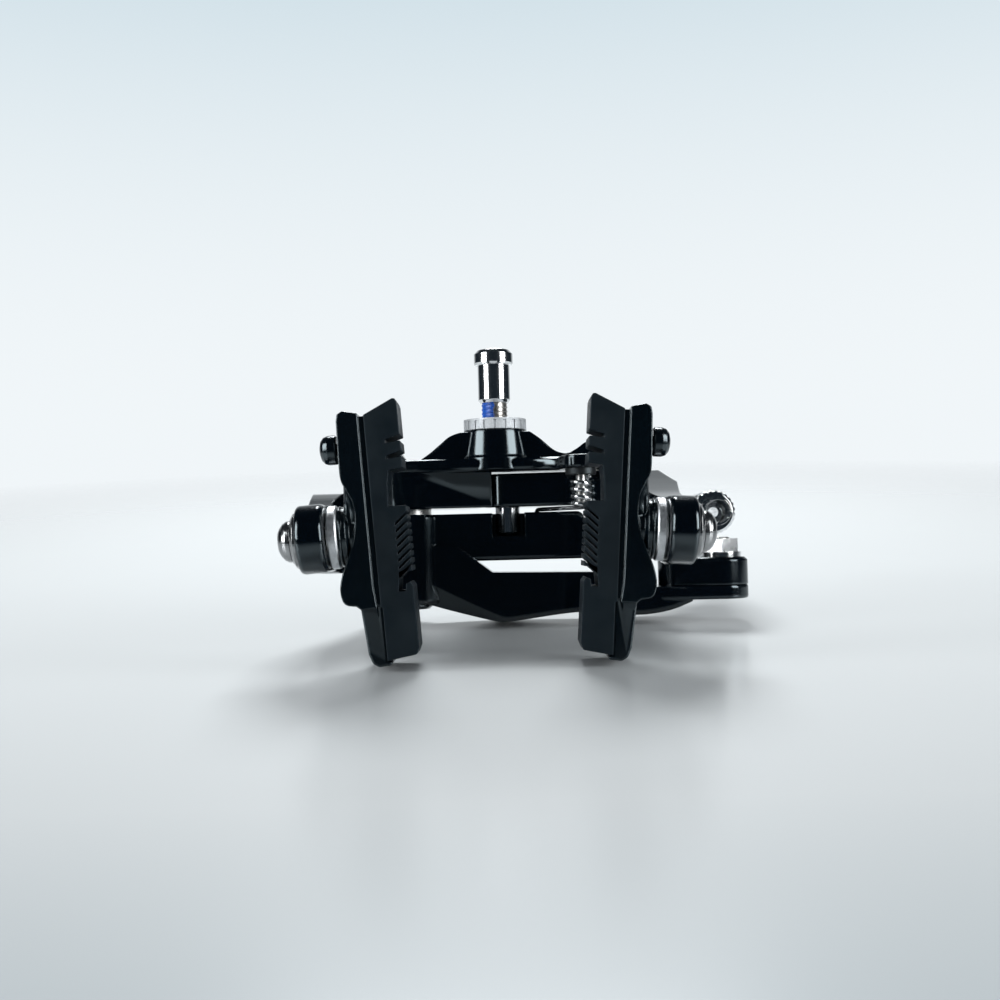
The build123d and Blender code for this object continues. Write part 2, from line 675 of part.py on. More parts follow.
            Line((LINK_X + notch_x, -15), (LINK_X - notch_x, -15))
        make_face()
    extrude(amount=C_ARM_TOP - LINK_LOW + 1, mode=Mode.SUBTRACT)
    with BuildSketch(Plane.XZ.offset(-LINK_R - LINK_CLEAR)):
        with Locations((LINK_X, LINK_LOW + LINK_R)):
            Circle(SET_SCREW_R)
    extrude(amount=-C_LOBE_HALF_Y, mode=Mode.SUBTRACT)
    slot_angle = math.degrees(math.atan2(SPRING_Y - HOOK_Y, SPRING_X - HOOK_X))
    slot_run = Vector(HOOK_SLIDE / 2, 0).rotate(Axis.Z, slot_angle)
    with BuildSketch(Plane.XY.offset(C_ARM_TOP - HOOK_DEPTH - LEG_GAP)):
        with Locations((HOOK_X + slot_run.X, HOOK_Y + slot_run.Y)):
            SlotCenterToCenter(HOOK_SLIDE, 2 * (WIRE_R + LEG_GAP), rotation=slot_angle)
    extrude(amount=HOOK_DEPTH + LEG_GAP, mode=Mode.SUBTRACT)
    with BuildSketch(Plane.XY.offset(ARM_TIP_LOW)):
        with Locations((ANCHOR_X, ANCHOR_Y)):
            Circle(ANCHOR_R)
    extrude(amount=ARM_TIP_T, mode=Mode.SUBTRACT)
    with BuildSketch(Plane.XY.offset(ARM_TIP_LOW)):
        with Locations((ANCHOR_X, ANCHOR_Y)):
            Circle(ANCHOR_HEAD_R)
    extrude(amount=ANCHOR_HEAD_T, mode=Mode.SUBTRACT)
c_arm.part.label = "c_arm"
export_step(c_arm.part, "parts/c_arm.step")

# Centring screw: set in the C-arm's lobe, its tip meets the link pin
with BuildPart() as centring_screw:
    with BuildSketch(Plane.XZ.offset(-LINK_R - LINK_CLEAR)):
        with Locations((LINK_X, LINK_LOW + LINK_R)):
            Circle(SET_SCREW_R)
    extrude(amount=LINK_R + LINK_CLEAR - C_LOBE_HALF_Y + 0.4)
    with BuildSketch(Plane.XZ.offset(0.4 - C_LOBE_HALF_Y)):
        with Locations((LINK_X, LINK_LOW + LINK_R)):
            RegularPolygon(SET_SCREW_HEX / 2, 6, major_radius=False)
    extrude(amount=1.6, mode=Mode.SUBTRACT)
centring_screw.part.label = "centring_screw"
export_step(centring_screw.part, "parts/centring_screw.step")

# Cable anchor: stud through the C-arm's tip and the release lever, with washer and nut
clamp_low = LEVER_TOP
nut_low = clamp_low + CLAMP_T
with BuildPart() as anchor_stud:
    with BuildSketch(Plane.XY.offset(ARM_TIP_LOW)):
        with Locations((ANCHOR_X, ANCHOR_Y)):
            Circle(ANCHOR_HEAD_R)
    extrude(amount=ANCHOR_HEAD_T)
    with BuildSketch(Plane.XY.offset(ARM_TIP_LOW)):
        with Locations((ANCHOR_X, ANCHOR_Y)):
            Circle(ANCHOR_R)
    extrude(amount=nut_low + ANCHOR_NUT_T + STUD_PROUD - ARM_TIP_LOW)
    chamfer(anchor_stud.edges().sort_by(Axis.Z)[-1], 0.3)
anchor_stud.part.label = "anchor_stud"
export_step(anchor_stud.part, "parts/anchor_stud.step")

with BuildPart() as release_lever:
    with BuildSketch(Plane.XY.offset(ARM_TIP_TOP)):
        with Locations((ANCHOR_X, ANCHOR_Y)):
            Circle(LEVER_R)
        with Locations((ANCHOR_X - LEVER_REACH + LEVER_END_R, ANCHOR_Y)):
            Circle(LEVER_END_R)
        make_hull()
    extrude(amount=LEVER_T)
    chamfer(release_lever.edges().group_by(Axis.Z)[-1], 0.7)
    with BuildSketch(Plane.XY.offset(ARM_TIP_TOP)):
        with Locations((ANCHOR_X, ANCHOR_Y)):
            Circle(ANCHOR_R + RUN_GAP)
    extrude(amount=LEVER_T, mode=Mode.SUBTRACT)
release_lever.part.label = "release_lever"
export_step(release_lever.part, "parts/release_lever.step")

with BuildPart() as clamp_washer:
    with BuildSketch(Plane.XY.offset(clamp_low)):
        with Locations((ANCHOR_X, ANCHOR_Y)):
            ring(CLAMP_R, ANCHOR_R + THREAD_GAP)
    extrude(amount=CLAMP_T)
clamp_washer.part.label = "clamp_washer"
export_step(clamp_washer.part, "parts/clamp_washer.step")

with BuildPart() as anchor_nut:
    with BuildSketch(Plane.XY.offset(nut_low)):
        with Locations((ANCHOR_X, ANCHOR_Y)):
            RegularPolygon(ANCHOR_NUT_AF / 2, 6, major_radius=False, rotation=30)
            Circle(ANCHOR_R + THREAD_GAP, mode=Mode.SUBTRACT)
    extrude(amount=ANCHOR_NUT_T)
anchor_nut.part.label = "anchor_nut"
export_step(anchor_nut.part, "parts/anchor_nut.step")

# Cable adjuster: knurled knob with a mouth tube, on a threaded tube through the Y-arm
knob_top_y = ADJUSTER_BOSS_Y - KNOB_GAP
knob_low_y = knob_top_y - KNOB_T
screw_end_y = ADJUSTER_BOSS_Y + ADJUSTER_BOSS_L + SCREW_PROUD
adjuster_axis = Axis((CABLE_X, 0, ADJUSTER_Z), (0, 1, 0))
with BuildPart() as adjuster_screw:
    with BuildSketch(Plane.YZ.offset(CABLE_X)):
        outline(
            (knob_low_y - MOUTH_L, ADJUSTER_Z + MOUTH_BORE_R),
            (knob_low_y - MOUTH_L, ADJUSTER_Z + MOUTH_R),
            (knob_low_y, ADJUSTER_Z + MOUTH_R),
            (knob_low_y, ADJUSTER_Z + KNOB_R - 0.7),
            (knob_low_y + 0.7, ADJUSTER_Z + KNOB_R),
            (knob_top_y - 0.7, ADJUSTER_Z + KNOB_R),
            (knob_top_y, ADJUSTER_Z + KNOB_R - 0.7),
            (knob_top_y, ADJUSTER_Z + SCREW_R),
            (screw_end_y, ADJUSTER_Z + SCREW_R),
            (screw_end_y, ADJUSTER_Z + NOSE_R + RUN_GAP),
            (screw_end_y - NOSE_L - 0.2, ADJUSTER_Z + NOSE_R + RUN_GAP),
            (screw_end_y - NOSE_L - 0.2, ADJUSTER_Z + CABLE_BORE_R),
            (knob_low_y + 1.0, ADJUSTER_Z + CABLE_BORE_R),
            (knob_low_y - 0.6, ADJUSTER_Z + MOUTH_BORE_R),
        )
    revolve(axis=adjuster_axis)
    with BuildSketch(Plane.XZ.offset(-knob_low_y)):
        with Locations((CABLE_X, ADJUSTER_Z)):
            with PolarLocations(KNOB_R, KNOB_FLUTES):
                Circle(KNOB_FLUTE_D)
    extrude(amount=-KNOB_T, mode=Mode.SUBTRACT)
adjuster_screw.part.label = "adjuster_screw"
export_step(adjuster_screw.part, "parts/adjuster_screw.step")

with BuildPart() as adjuster_ferrule:
    cup_y = screw_end_y + END_GAP
    with BuildSketch(Plane.YZ.offset(CABLE_X)):
        outline(
            (screw_end_y - NOSE_L, ADJUSTER_Z + CABLE_BORE_R),
            (screw_end_y - NOSE_L, ADJUSTER_Z + NOSE_R),
            (cup_y, ADJUSTER_Z + NOSE_R),
            (cup_y, ADJUSTER_Z + FERRULE_R - 0.5),
            (cup_y + 0.5, ADJUSTER_Z + FERRULE_R),
            (cup_y + FERRULE_L - 0.5, ADJUSTER_Z + FERRULE_R),
            (cup_y + FERRULE_L, ADJUSTER_Z + FERRULE_R - 0.5),
            (cup_y + FERRULE_L, ADJUSTER_Z + HOUSING_SEAT_R),
            (cup_y + FERRULE_L - HOUSING_SEAT_L, ADJUSTER_Z + HOUSING_SEAT_R),
            (cup_y + FERRULE_L - HOUSING_SEAT_L, ADJUSTER_Z + CABLE_BORE_R),
        )
    revolve(axis=adjuster_axis)
adjuster_ferrule.part.label = "adjuster_ferrule"
export_step(adjuster_ferrule.part, "parts/adjuster_ferrule.step")

# Return spring on its post and seat: one leg in the bracket's tab, one hooked in the C-arm
with BuildPart() as spring_post:
    with BuildSketch(Plane.XY.offset(LEG_Z + 1.2)):
        with Locations((SPRING_X, SPRING_Y)):
            Circle(POST_R)
    extrude(amount=BRACKET_LOW + TAB_T - LEG_Z - 1.2)
spring_post.part.label = "spring_post"
export_step(spring_post.part, "parts/spring_post.step")

with BuildPart() as spring_seat:
    with BuildSketch(Plane.XY.offset(BRACKET_LOW - SEAT_T)):
        with Locations((SPRING_X, SPRING_Y)):
            ring(SEAT_FLANGE_R, POST_R)
        with Locations((SPRING_X + COIL_R, SPRING_Y)):
            Circle(WIRE_R + 0.1, mode=Mode.SUBTRACT)
    extrude(amount=SEAT_T)
spring_seat.part.label = "spring_seat"
export_step(spring_seat.part, "parts/spring_seat.step")


def coil_point(turn_angle):
    """Point of the coil's centre line and its direction, at this angle in radians."""
    drop = (turn_angle - coil_start) / (coil_end - coil_start)
    height = COIL_TOP + (LEG_Z + 0.15 - COIL_TOP) * drop
    slope = (LEG_Z + 0.15 - COIL_TOP) / (coil_end - coil_start)
    where = Vector(
        SPRING_X + COIL_R * math.cos(turn_angle),
        SPRING_Y + COIL_R * math.sin(turn_angle),
        height,
    )
    heading = Vector(-COIL_R * math.sin(turn_angle), COIL_R * math.cos(turn_angle), slope)
    return where, heading.normalized()


def biarc(start, start_way, end, end_way):
    """Two arcs that join the points smoothly, in the directions given."""
    span = end - start
    both_ways = start_way + end_way
    across = span.dot(both_ways)
    spread = 2 * (1 - start_way.dot(end_way))
    if spread < 1e-9:
        reach = span.dot(span) / (4 * span.dot(end_way))
    else:
        reach = (-across + math.sqrt(across**2 + spread * span.dot(span))) / spread
    first_end = start + start_way * reach
    second_end = end - end_way * reach
    middle = (first_end + second_end) * 0.5
    TangentArc(start, middle, tangent=start_way)
    TangentArc(middle, end, tangent=(middle - first_end).normalized())


DOWN = Vector(0, 0, -1)
hook = Vector(HOOK_X, HOOK_Y, LEG_Z)
to_hook = hook - Vector(SPRING_X, SPRING_Y, LEG_Z)
leave_angle = math.atan2(to_hook.Y, to_hook.X) - math.acos(COIL_R / to_hook.length)
coil_start = math.radians(50)
coil_end = leave_angle + 2 * math.pi * 4 - math.radians(40)
leave_point = Vector(
    SPRING_X + COIL_R * math.cos(leave_angle), SPRING_Y + COIL_R * math.sin(leave_angle), LEG_Z
)
leg_way = (hook - leave_point).normalized()
with BuildPart() as return_spring:
    with BuildLine() as wire_path:
        wire_top = Vector(SPRING_X + COIL_R, SPRING_Y, BRACKET_LOW + TAB_T - 0.5)
        leg_bend = Vector(SPRING_X + COIL_R, SPRING_Y, BRACKET_LOW - SEAT_T + 0.3)
        Line(wire_top, leg_bend)
        coil_from, coil_way = coil_point(coil_start)
        biarc(leg_bend, DOWN, coil_from, coil_way)
        arcs = math.ceil((coil_end - coil_start) / (math.pi / 2))
        for index in range(arcs):
            low_angle = coil_start + (coil_end - coil_start) * index / arcs
            high_angle = coil_start + (coil_end - coil_start) * (index + 1) / arcs
            arc_from, way_from = coil_point(low_angle)
            arc_to, way_to = coil_point(high_angle)
            biarc(arc_from, way_from, arc_to, way_to)
        leg_from = leave_point + leg_way * 1.2
        biarc(arc_to, way_to, leg_from, leg_way)
        leg_to = hook - leg_way * 1.0
        Line(leg_from, leg_to)
        biarc(leg_to, leg_way, hook + DOWN * 1.0, DOWN)
        Line(hook + DOWN * 1.0, hook + DOWN * (HOOK_DEPTH + C_ARM_TOP - LEG_Z))
    with BuildSketch(Plane(origin=wire_top, z_dir=DOWN)):
        Circle(WIRE_R)
    sweep(transition=Transition.TRANSFORMED)
return_spring.part.label = "return_spring"
export_step(return_spring.part, "parts/return_spring.step")

# Least gap of the spring's wire to itself, measured on points of its centre line
wire = Wire(wire_path.edges().sort_by(wire_path.wires()[0]))
SAMPLES = 1600
spots = [wire.position_at(index / SAMPLES) for index in range(SAMPLES + 1)]
far = math.ceil(SAMPLES * 4.0 / wire.length)
least = min(
    (spots[one] - spots[other]).length
    for one in range(0, SAMPLES + 1, 2)
    for other in range(one + far, SAMPLES + 1, 2)
)
print(f"return spring: least gap to itself {least - 2 * WIRE_R:.2f} mm")

# Pads: the right ones are built in place, and the left ones are their mirror images
stud_axis = Axis(PAD_POINT, PAD_OUT)
ACROSS_PAD = Plane(origin=PAD_POINT, x_dir=PAD_OUT, z_dir=PAD_SIDE.y_dir)
arm_in_u = -ARM_END_T / 2
arm_out_u = ARM_END_T / 2
boss_face_u = arm_in_u - INNER_STACK_T
holder_back_u = boss_face_u - 1.7
rubber_back_u = holder_back_u - HOLDER_STRIP_T + 0.1
rubber_face_u = rubber_back_u - RUBBER_T
waist_u = holder_back_u - 2.1
bulge_u = holder_back_u + 2.9
pad_top_w = PAD_LENGTH / 2 - 2.0
pad_low_w = -PAD_LENGTH / 2
washer_bore = STUD_R + THREAD_GAP


def dish_arc():
    """Shared ball surface of the two dished washers, from the rim to the bore."""
    centre_u = boss_face_u + CUP_EDGE_T + math.sqrt(BALL_R**2 - DISH_R**2)
    points = []
    for part in (0.0, 0.5, 1.0):
        radius = DISH_R + (washer_bore - DISH_R) * part
        points.append((centre_u - math.sqrt(BALL_R**2 - radius**2), radius))
    ThreePointArc(*points)
    return points[0], points[-1]


def save_pair(solid, name):
    """Write the right piece and its mirror image on the left."""
    for side, piece in (("right", solid), ("left", mirror(solid, about=Plane.YZ))):
        piece.label = f"{side}_{name}"
        export_step(piece, f"parts/{side}_{name}.step")


# Cup washer: flat on the holder's boss, dished towards the arm
with BuildPart() as cup_washer:
    with BuildSketch(PAD_SIDE):
        with BuildLine():
            rim, bore = dish_arc()
            Polyline(bore, (boss_face_u, washer_bore), (boss_face_u, DISH_R), rim)
        make_face()
    revolve(axis=stud_axis)
save_pair(cup_washer.part, "cup_washer")

# Ball washer: flat on the arm, domed into the cup
with BuildPart() as ball_washer:
    with BuildSketch(PAD_SIDE):
        with BuildLine():
            rim, bore = dish_arc()
            Polyline(bore, (arm_in_u, washer_bore), (arm_in_u, DISH_R), rim)
        make_face()
    revolve(axis=stud_axis)
save_pair(ball_washer.part, "ball_washer")

with BuildPart() as outer_washer:
    with BuildSketch(stud_plane(arm_out_u)):
        ring(OUTER_WASHER_R, washer_bore)
    extrude(amount=OUTER_WASHER_T)
    chamfer(outer_washer.edges().filter_by(GeomType.CIRCLE).sort_by(stud_axis)[-1], 0.3)
save_pair(outer_washer.part, "outer_washer")

# Pad bolt: domed head with a hexagon socket
head_u = arm_out_u + OUTER_WASHER_T
with BuildPart() as pad_bolt:
    with BuildSketch(PAD_SIDE):
        with BuildLine():
            Polyline(
                (head_u + PAD_HEAD_T, 0),
                (boss_face_u - STUD_IN_HOLDER, 0),
                (boss_face_u - STUD_IN_HOLDER, STUD_R - 0.4),
                (boss_face_u - STUD_IN_HOLDER + 0.4, STUD_R),
                (head_u, STUD_R),
                (head_u, PAD_HEAD_R),
                (head_u + 0.9, PAD_HEAD_R),
            )
            ThreePointArc(
                (head_u + 0.9, PAD_HEAD_R),
                (head_u + PAD_HEAD_T * 0.8, PAD_HEAD_R * 0.75),
                (head_u + PAD_HEAD_T, PAD_HEAD_R * 0.55),
            )
            Line((head_u + PAD_HEAD_T, PAD_HEAD_R * 0.55), (head_u + PAD_HEAD_T, 0))
        make_face()
    revolve(axis=stud_axis)
    with BuildSketch(stud_plane(head_u + 0.8)):
        RegularPolygon(PAD_HEX / 2, 6, major_radius=False)
    extrude(amount=PAD_HEAD_T, mode=Mode.SUBTRACT)
save_pair(pad_bolt.part, "pad_bolt")

# Pad holder: waisted flanks, a core that runs straight to the boss, and a full lower end
with BuildPart() as pad_holder:
    with BuildSketch(PAD_SIDE):
        outline(
            (rubber_back_u, pad_top_w),
            (holder_back_u - 1.2, pad_top_w),
            (holder_back_u, pad_top_w - 1.2),
            (holder_back_u, 11.5),
            (waist_u, 7.0),
            (waist_u, -1.5),
            (holder_back_u - 0.2, -5.2),
            (bulge_u, -9.8),
            (bulge_u, -12.8),
            (bulge_u - 1.2, -14.2),
            (holder_back_u - 0.3, -14.8),
            (holder_back_u - 0.7, pad_low_w + 1.2),
            (holder_back_u - 1.9, pad_low_w),
            (rubber_back_u, pad_low_w),
        )
    extrude(amount=PAD_HALF_Y, both=True)
    with BuildSketch(PAD_SIDE):
        outline(
            (rubber_back_u, 14.0),
            (holder_back_u, 14.0),
            (boss_face_u, 5.0),
            (boss_face_u, -7.0),
            (bulge_u, -9.8),
            (rubber_back_u, -9.8),
        )
    extrude(amount=PAD_HALF_Y - 1.3, both=True)
    with BuildSketch(stud_plane(rubber_back_u)):
        Circle(HOLDER_BOSS_R)
    extrude(amount=boss_face_u - rubber_back_u)
    with BuildSketch(ACROSS_PAD):
        outline(
            (rubber_back_u - 1, -PAD_HALF_Y),
            (holder_back_u - 0.8, -PAD_HALF_Y),
            (holder_back_u + 1.2, 1.6 - PAD_HALF_Y),
            (bulge_u + 2, 1.6 - PAD_HALF_Y),
            (bulge_u + 2, PAD_HALF_Y - 1.6),
            (holder_back_u + 1.2, PAD_HALF_Y - 1.6),
            (holder_back_u - 0.8, PAD_HALF_Y),
            (rubber_back_u - 1, PAD_HALF_Y),
        )
    extrude(amount=PAD_LENGTH, both=True, mode=Mode.INTERSECT)
    with BuildSketch(stud_plane(boss_face_u)):
        Circle(washer_bore)
    extrude(amount=-STUD_IN_HOLDER - 0.4, mode=Mode.SUBTRACT)
    screw_plane = Plane(
        origin=PAD_SIDE.from_local_coords((holder_back_u, SCREW_W, 0)),
        x_dir=(0, 1, 0),
        z_dir=PAD_OUT,
    )
    with BuildSketch(screw_plane):
        Circle(SCREW_NECK_R)
    extrude(amount=SCREW_HEAD_OFF - SCREW_NECK_L, mode=Mode.SUBTRACT)
save_pair(pad_holder.part, "pad_holder")

# Rubber: slots, a recess, diagonal grooves and a bevelled braking face
with BuildPart() as pad_rubber:
    with BuildSketch(PAD_SIDE):
        outline(
            (rubber_back_u, pad_top_w + 0.2),
            (rubber_face_u + 1.1, PAD_LENGTH / 2 + RUBBER_TIP - 0.8),
            (rubber_face_u, PAD_LENGTH / 2 + RUBBER_TIP - 1.6),
            (rubber_face_u, -PAD_LENGTH / 2 + 3.8),
            (rubber_face_u + 1.2, -PAD_LENGTH / 2 + 2.4),
            (rubber_back_u, pad_low_w + 0.2),
        )
    extrude(amount=PAD_HALF_Y, both=True)
    with BuildSketch(ACROSS_PAD):
        outline(
            (rubber_back_u + 1, -PAD_HALF_Y),
            (rubber_face_u + 1.3, -PAD_HALF_Y),
            (rubber_face_u, 1.2 - PAD_HALF_Y),
            (rubber_face_u, PAD_HALF_Y - 1.2),
            (rubber_face_u + 1.3, PAD_HALF_Y),
            (rubber_back_u + 1, PAD_HALF_Y),
        )
    extrude(amount=PAD_LENGTH, both=True, mode=Mode.INTERSECT)
    with BuildSketch(PAD_SIDE):
        for slot_w in (20.0, 17.8):
            with Locations((rubber_face_u, slot_w)):
                Rectangle(5.6, 0.9)
        with Locations((rubber_face_u, 9.8)):
            Rectangle(4.4, 6.8)
        with Locations((rubber_face_u, -11.0)):
            SlotCenterToCenter(2 * 2.2, 1.8)
        for rib in range(RIB_COUNT):
            with Locations((rubber_face_u, 5.5 - rib * RIB_PITCH)):
                Rectangle(4.4, 0.5, rotation=-40)
    extrude(amount=2 * PAD_HALF_Y, both=True, mode=Mode.SUBTRACT)
save_pair(pad_rubber.part, "pad_rubber")

# Retaining screw of the rubber: a neck and a domed head
with BuildPart() as pad_screw:
    head_at = holder_back_u + SCREW_HEAD_OFF
    with BuildSketch(PAD_SIDE):
        with BuildLine():
            Polyline(
                (head_at + SCREW_HEAD_T, SCREW_W),
                (head_at - SCREW_NECK_L, SCREW_W),
                (head_at - SCREW_NECK_L, SCREW_W + SCREW_NECK_R),
                (head_at, SCREW_W + SCREW_NECK_R),
                (head_at, SCREW_W + SCREW_HEAD_R - 0.5),
                (head_at + 0.5, SCREW_W + SCREW_HEAD_R),
                (head_at + 1.3, SCREW_W + SCREW_HEAD_R),
            )
            ThreePointArc(
                (head_at + 1.3, SCREW_W + SCREW_HEAD_R),
                (head_at + SCREW_HEAD_T * 0.85, SCREW_W + SCREW_HEAD_R * 0.7),
                (head_at + SCREW_HEAD_T, SCREW_W + 1.0),
            )
            Line((head_at + SCREW_HEAD_T, SCREW_W + 1.0), (head_at + SCREW_HEAD_T, SCREW_W))
        make_face()
    revolve(axis=Axis(screw_plane.origin, PAD_OUT))
save_pair(pad_screw.part, "pad_screw")
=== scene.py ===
"""Dual-pivot caliper brake, lying on its front on a pale table."""

import math

import bmesh
import bpy
from mathutils import Matrix, Vector


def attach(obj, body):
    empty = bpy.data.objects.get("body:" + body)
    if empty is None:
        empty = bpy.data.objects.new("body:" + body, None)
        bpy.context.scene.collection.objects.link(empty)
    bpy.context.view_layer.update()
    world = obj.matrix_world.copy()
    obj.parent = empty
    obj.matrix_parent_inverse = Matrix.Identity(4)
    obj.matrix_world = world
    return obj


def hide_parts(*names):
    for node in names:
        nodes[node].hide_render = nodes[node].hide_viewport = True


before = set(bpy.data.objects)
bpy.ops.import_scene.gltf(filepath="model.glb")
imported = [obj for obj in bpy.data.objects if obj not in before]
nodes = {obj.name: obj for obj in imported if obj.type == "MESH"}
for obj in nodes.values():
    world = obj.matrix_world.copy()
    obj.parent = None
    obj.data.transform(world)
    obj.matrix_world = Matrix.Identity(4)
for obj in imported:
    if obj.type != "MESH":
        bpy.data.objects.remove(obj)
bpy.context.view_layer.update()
scene = bpy.context.scene

MM = 0.001

# Camera: along +Y from the pads' end, a little below the brake's own horizon
ROLL = math.radians(1.5)
PITCH = 0.035
FOCUS_PX = 1274.0
PICTURE_PX = 1000
SENSOR_MM = 36.0
CAMERA_AT = Vector((0.75 * MM, -310 * MM, -30.35 * MM))

forward = Vector((0, 1, PITCH)).normalized()
up_flat = Vector((0, -PITCH, 1)).normalized()
right_flat = Vector((1, 0, 0))
right = right_flat * math.cos(ROLL) - up_flat * math.sin(ROLL)
up = right_flat * math.sin(ROLL) + up_flat * math.cos(ROLL)
lens = bpy.data.cameras.new("camera")
lens.sensor_width = SENSOR_MM
lens.lens = FOCUS_PX / PICTURE_PX * SENSOR_MM
lens.clip_start = 0.01
lens.clip_end = 20.0
camera = bpy.data.objects.new("camera", lens)
turn = Matrix((right, up, -forward)).transposed().to_4x4()
camera.matrix_world = Matrix.Translation(CAMERA_AT) @ turn
scene.collection.objects.link(camera)
scene.camera = camera

# Materials: grains are counted per metre, bump heights and edges are in metres
BEVEL_SAMPLES = 6
# Radius of the edge mask that carries the painted edge highlight
PAINTED_EDGE_RADIUS = 0.00025
SPECULAR_TINT = (0.80, 0.94, 1.0, 1.0)


def new_material(name):
    """Empty node material with its output and shader."""
    made = bpy.data.materials.new(name)
    made.use_nodes = True
    tree = made.node_tree
    tree.nodes.clear()
    output = tree.nodes.new("ShaderNodeOutputMaterial")
    shader = tree.nodes.new("ShaderNodeBsdfPrincipled")
    tree.links.new(shader.outputs["BSDF"], output.inputs["Surface"])
    return made, tree, shader


def noise(tree, grain, detail=3.0, rough=0.55):
    """Noise on the object's own coordinates."""
    place = tree.nodes.new("ShaderNodeTexCoord")
    made = tree.nodes.new("ShaderNodeTexNoise")
    made.inputs["Scale"].default_value = grain
    made.inputs["Detail"].default_value = detail
    made.inputs["Roughness"].default_value = rough
    tree.links.new(place.outputs["Object"], made.inputs["Vector"])
    return made.outputs["Fac"]


def ramp(tree, source, low, high, low_value=0.0, high_value=1.0):
    """Source mapped from one range to another, and held inside it."""
    made = tree.nodes.new("ShaderNodeMapRange")
    made.inputs["From Min"].default_value = low
    made.inputs["From Max"].default_value = high
    made.inputs["To Min"].default_value = low_value
    made.inputs["To Max"].default_value = high_value
    tree.links.new(source, made.inputs["Value"])
    return made.outputs["Result"]


def product(tree, first, second):
    """Product of two sockets."""
    made = tree.nodes.new("ShaderNodeMath")
    made.operation = "MULTIPLY"
    tree.links.new(first, made.inputs[0])
    tree.links.new(second, made.inputs[1])
    return made.outputs["Value"]


def blend_colour(tree, factor, first, second):
    """Colour mixed from two colours or sockets."""
    made = tree.nodes.new("ShaderNodeMix")
    made.data_type = "RGBA"
    tree.links.new(factor, made.inputs["Factor"])
    for socket, value in ((made.inputs[6], first), (made.inputs[7], second)):
        if isinstance(value, tuple):
            socket.default_value = (*value, 1.0)
        else:
            tree.links.new(value, socket)
    return made.outputs[2]


def own_axes(tree, system):
    """X, Y and Z of a coordinate system, as sockets."""
    place = tree.nodes.new("ShaderNodeTexCoord")
    axes = tree.nodes.new("ShaderNodeSeparateXYZ")
    tree.links.new(place.outputs[system], axes.inputs["Vector"])
    return axes.outputs


def rounded_normal(tree, radius):
    """Normal that turns smoothly over edges."""
    rounded = tree.nodes.new("ShaderNodeBevel")
    rounded.samples = BEVEL_SAMPLES
    rounded.inputs["Radius"].default_value = radius
    return rounded.outputs["Normal"]


def edge_mask(tree, radius):
    """1 on edges, 0 on flats: how far a rounded normal leaves the true one."""
    rounded = rounded_normal(tree, radius)
    true = tree.nodes.new("ShaderNodeNewGeometry")
    dot = tree.nodes.new("ShaderNodeVectorMath")
    dot.operation = "DOT_PRODUCT"
    tree.links.new(rounded, dot.inputs[0])
    tree.links.new(true.outputs["Normal"], dot.inputs[1])
    flip = tree.nodes.new("ShaderNodeMath")
    flip.operation = "SUBTRACT"
    flip.inputs[0].default_value = 1.0
    tree.links.new(dot.outputs["Value"], flip.inputs[1])
    return ramp(tree, flip.outputs["Value"], 0.02, 0.12)


def relief(tree, shader, heights, edge):
    """Bumps one after another on a rounded-edge normal: (height, strength, distance) each."""
    normal = rounded_normal(tree, edge)
    for height, strength, distance in heights:
        bump = tree.nodes.new("ShaderNodeBump")
        bump.inputs["Strength"].default_value = strength
        bump.inputs["Distance"].default_value = distance
        tree.links.new(height, bump.inputs["Height"])
        tree.links.new(normal, bump.inputs["Normal"])
        normal = bump.outputs["Normal"]
    tree.links.new(normal, shader.inputs["Normal"])


def coated(name, colour, second, edge_highlight, rough, grain, grain_strength, edge, shine):
    """Black lacquer, rubber or plastic: two close tones, soft grain, and a painted highlight in patches
    on the edges.
    """
    made, tree, shader = new_material(name)
    patch = ramp(tree, noise(tree, grain=55.0, detail=4.0), 0.35, 0.68)
    tone = blend_colour(tree, patch, colour, second)
    # Painted highlight: a paler colour on the rounded edges, broken into patches by noise
    highlight_patches = ramp(tree, noise(tree, grain=900.0, detail=4.0, rough=0.7), 0.4, 0.75, 0.0, 0.35)
    edge_highlight_mask = product(tree, edge_mask(tree, PAINTED_EDGE_RADIUS), highlight_patches)
    tree.links.new(blend_colour(tree, edge_highlight_mask, tone, edge_highlight), shader.inputs["Base Color"])
    smear = noise(tree, grain=120.0, detail=5.0, rough=0.65)
    tree.links.new(ramp(tree, smear, 0.3, 0.75, rough * 0.8, rough * 1.25), shader.inputs["Roughness"])
    shader.inputs["Specular IOR Level"].default_value = shine
    shader.inputs["Specular Tint"].default_value = SPECULAR_TINT
    fine = noise(tree, grain, detail=2.0)
    broad = noise(tree, grain=160.0, detail=2.0)
    relief(tree, shader, [(broad, 0.10, 0.0002), (fine, grain_strength, 0.00004)], edge)
    return made


def metal(name, colour, second, rough, grain, grain_strength, edge=0.0002):
    """Bright or plain metal with fine marks, faint stains and a little spread in its gloss."""
    made, tree, shader = new_material(name)
    shader.inputs["Metallic"].default_value = 1.0
    stain = ramp(tree, noise(tree, grain=260.0, detail=5.0, rough=0.65), 0.42, 0.72)
    tree.links.new(blend_colour(tree, stain, colour, second), shader.inputs["Base Color"])
    marks = noise(tree, grain, detail=3.0, rough=0.6)
    tree.links.new(ramp(tree, marks, 0.25, 0.8, rough * 0.7, rough * 1.5), shader.inputs["Roughness"])
    relief(tree, shader, [(marks, grain_strength, 0.00003)], edge)
    return made
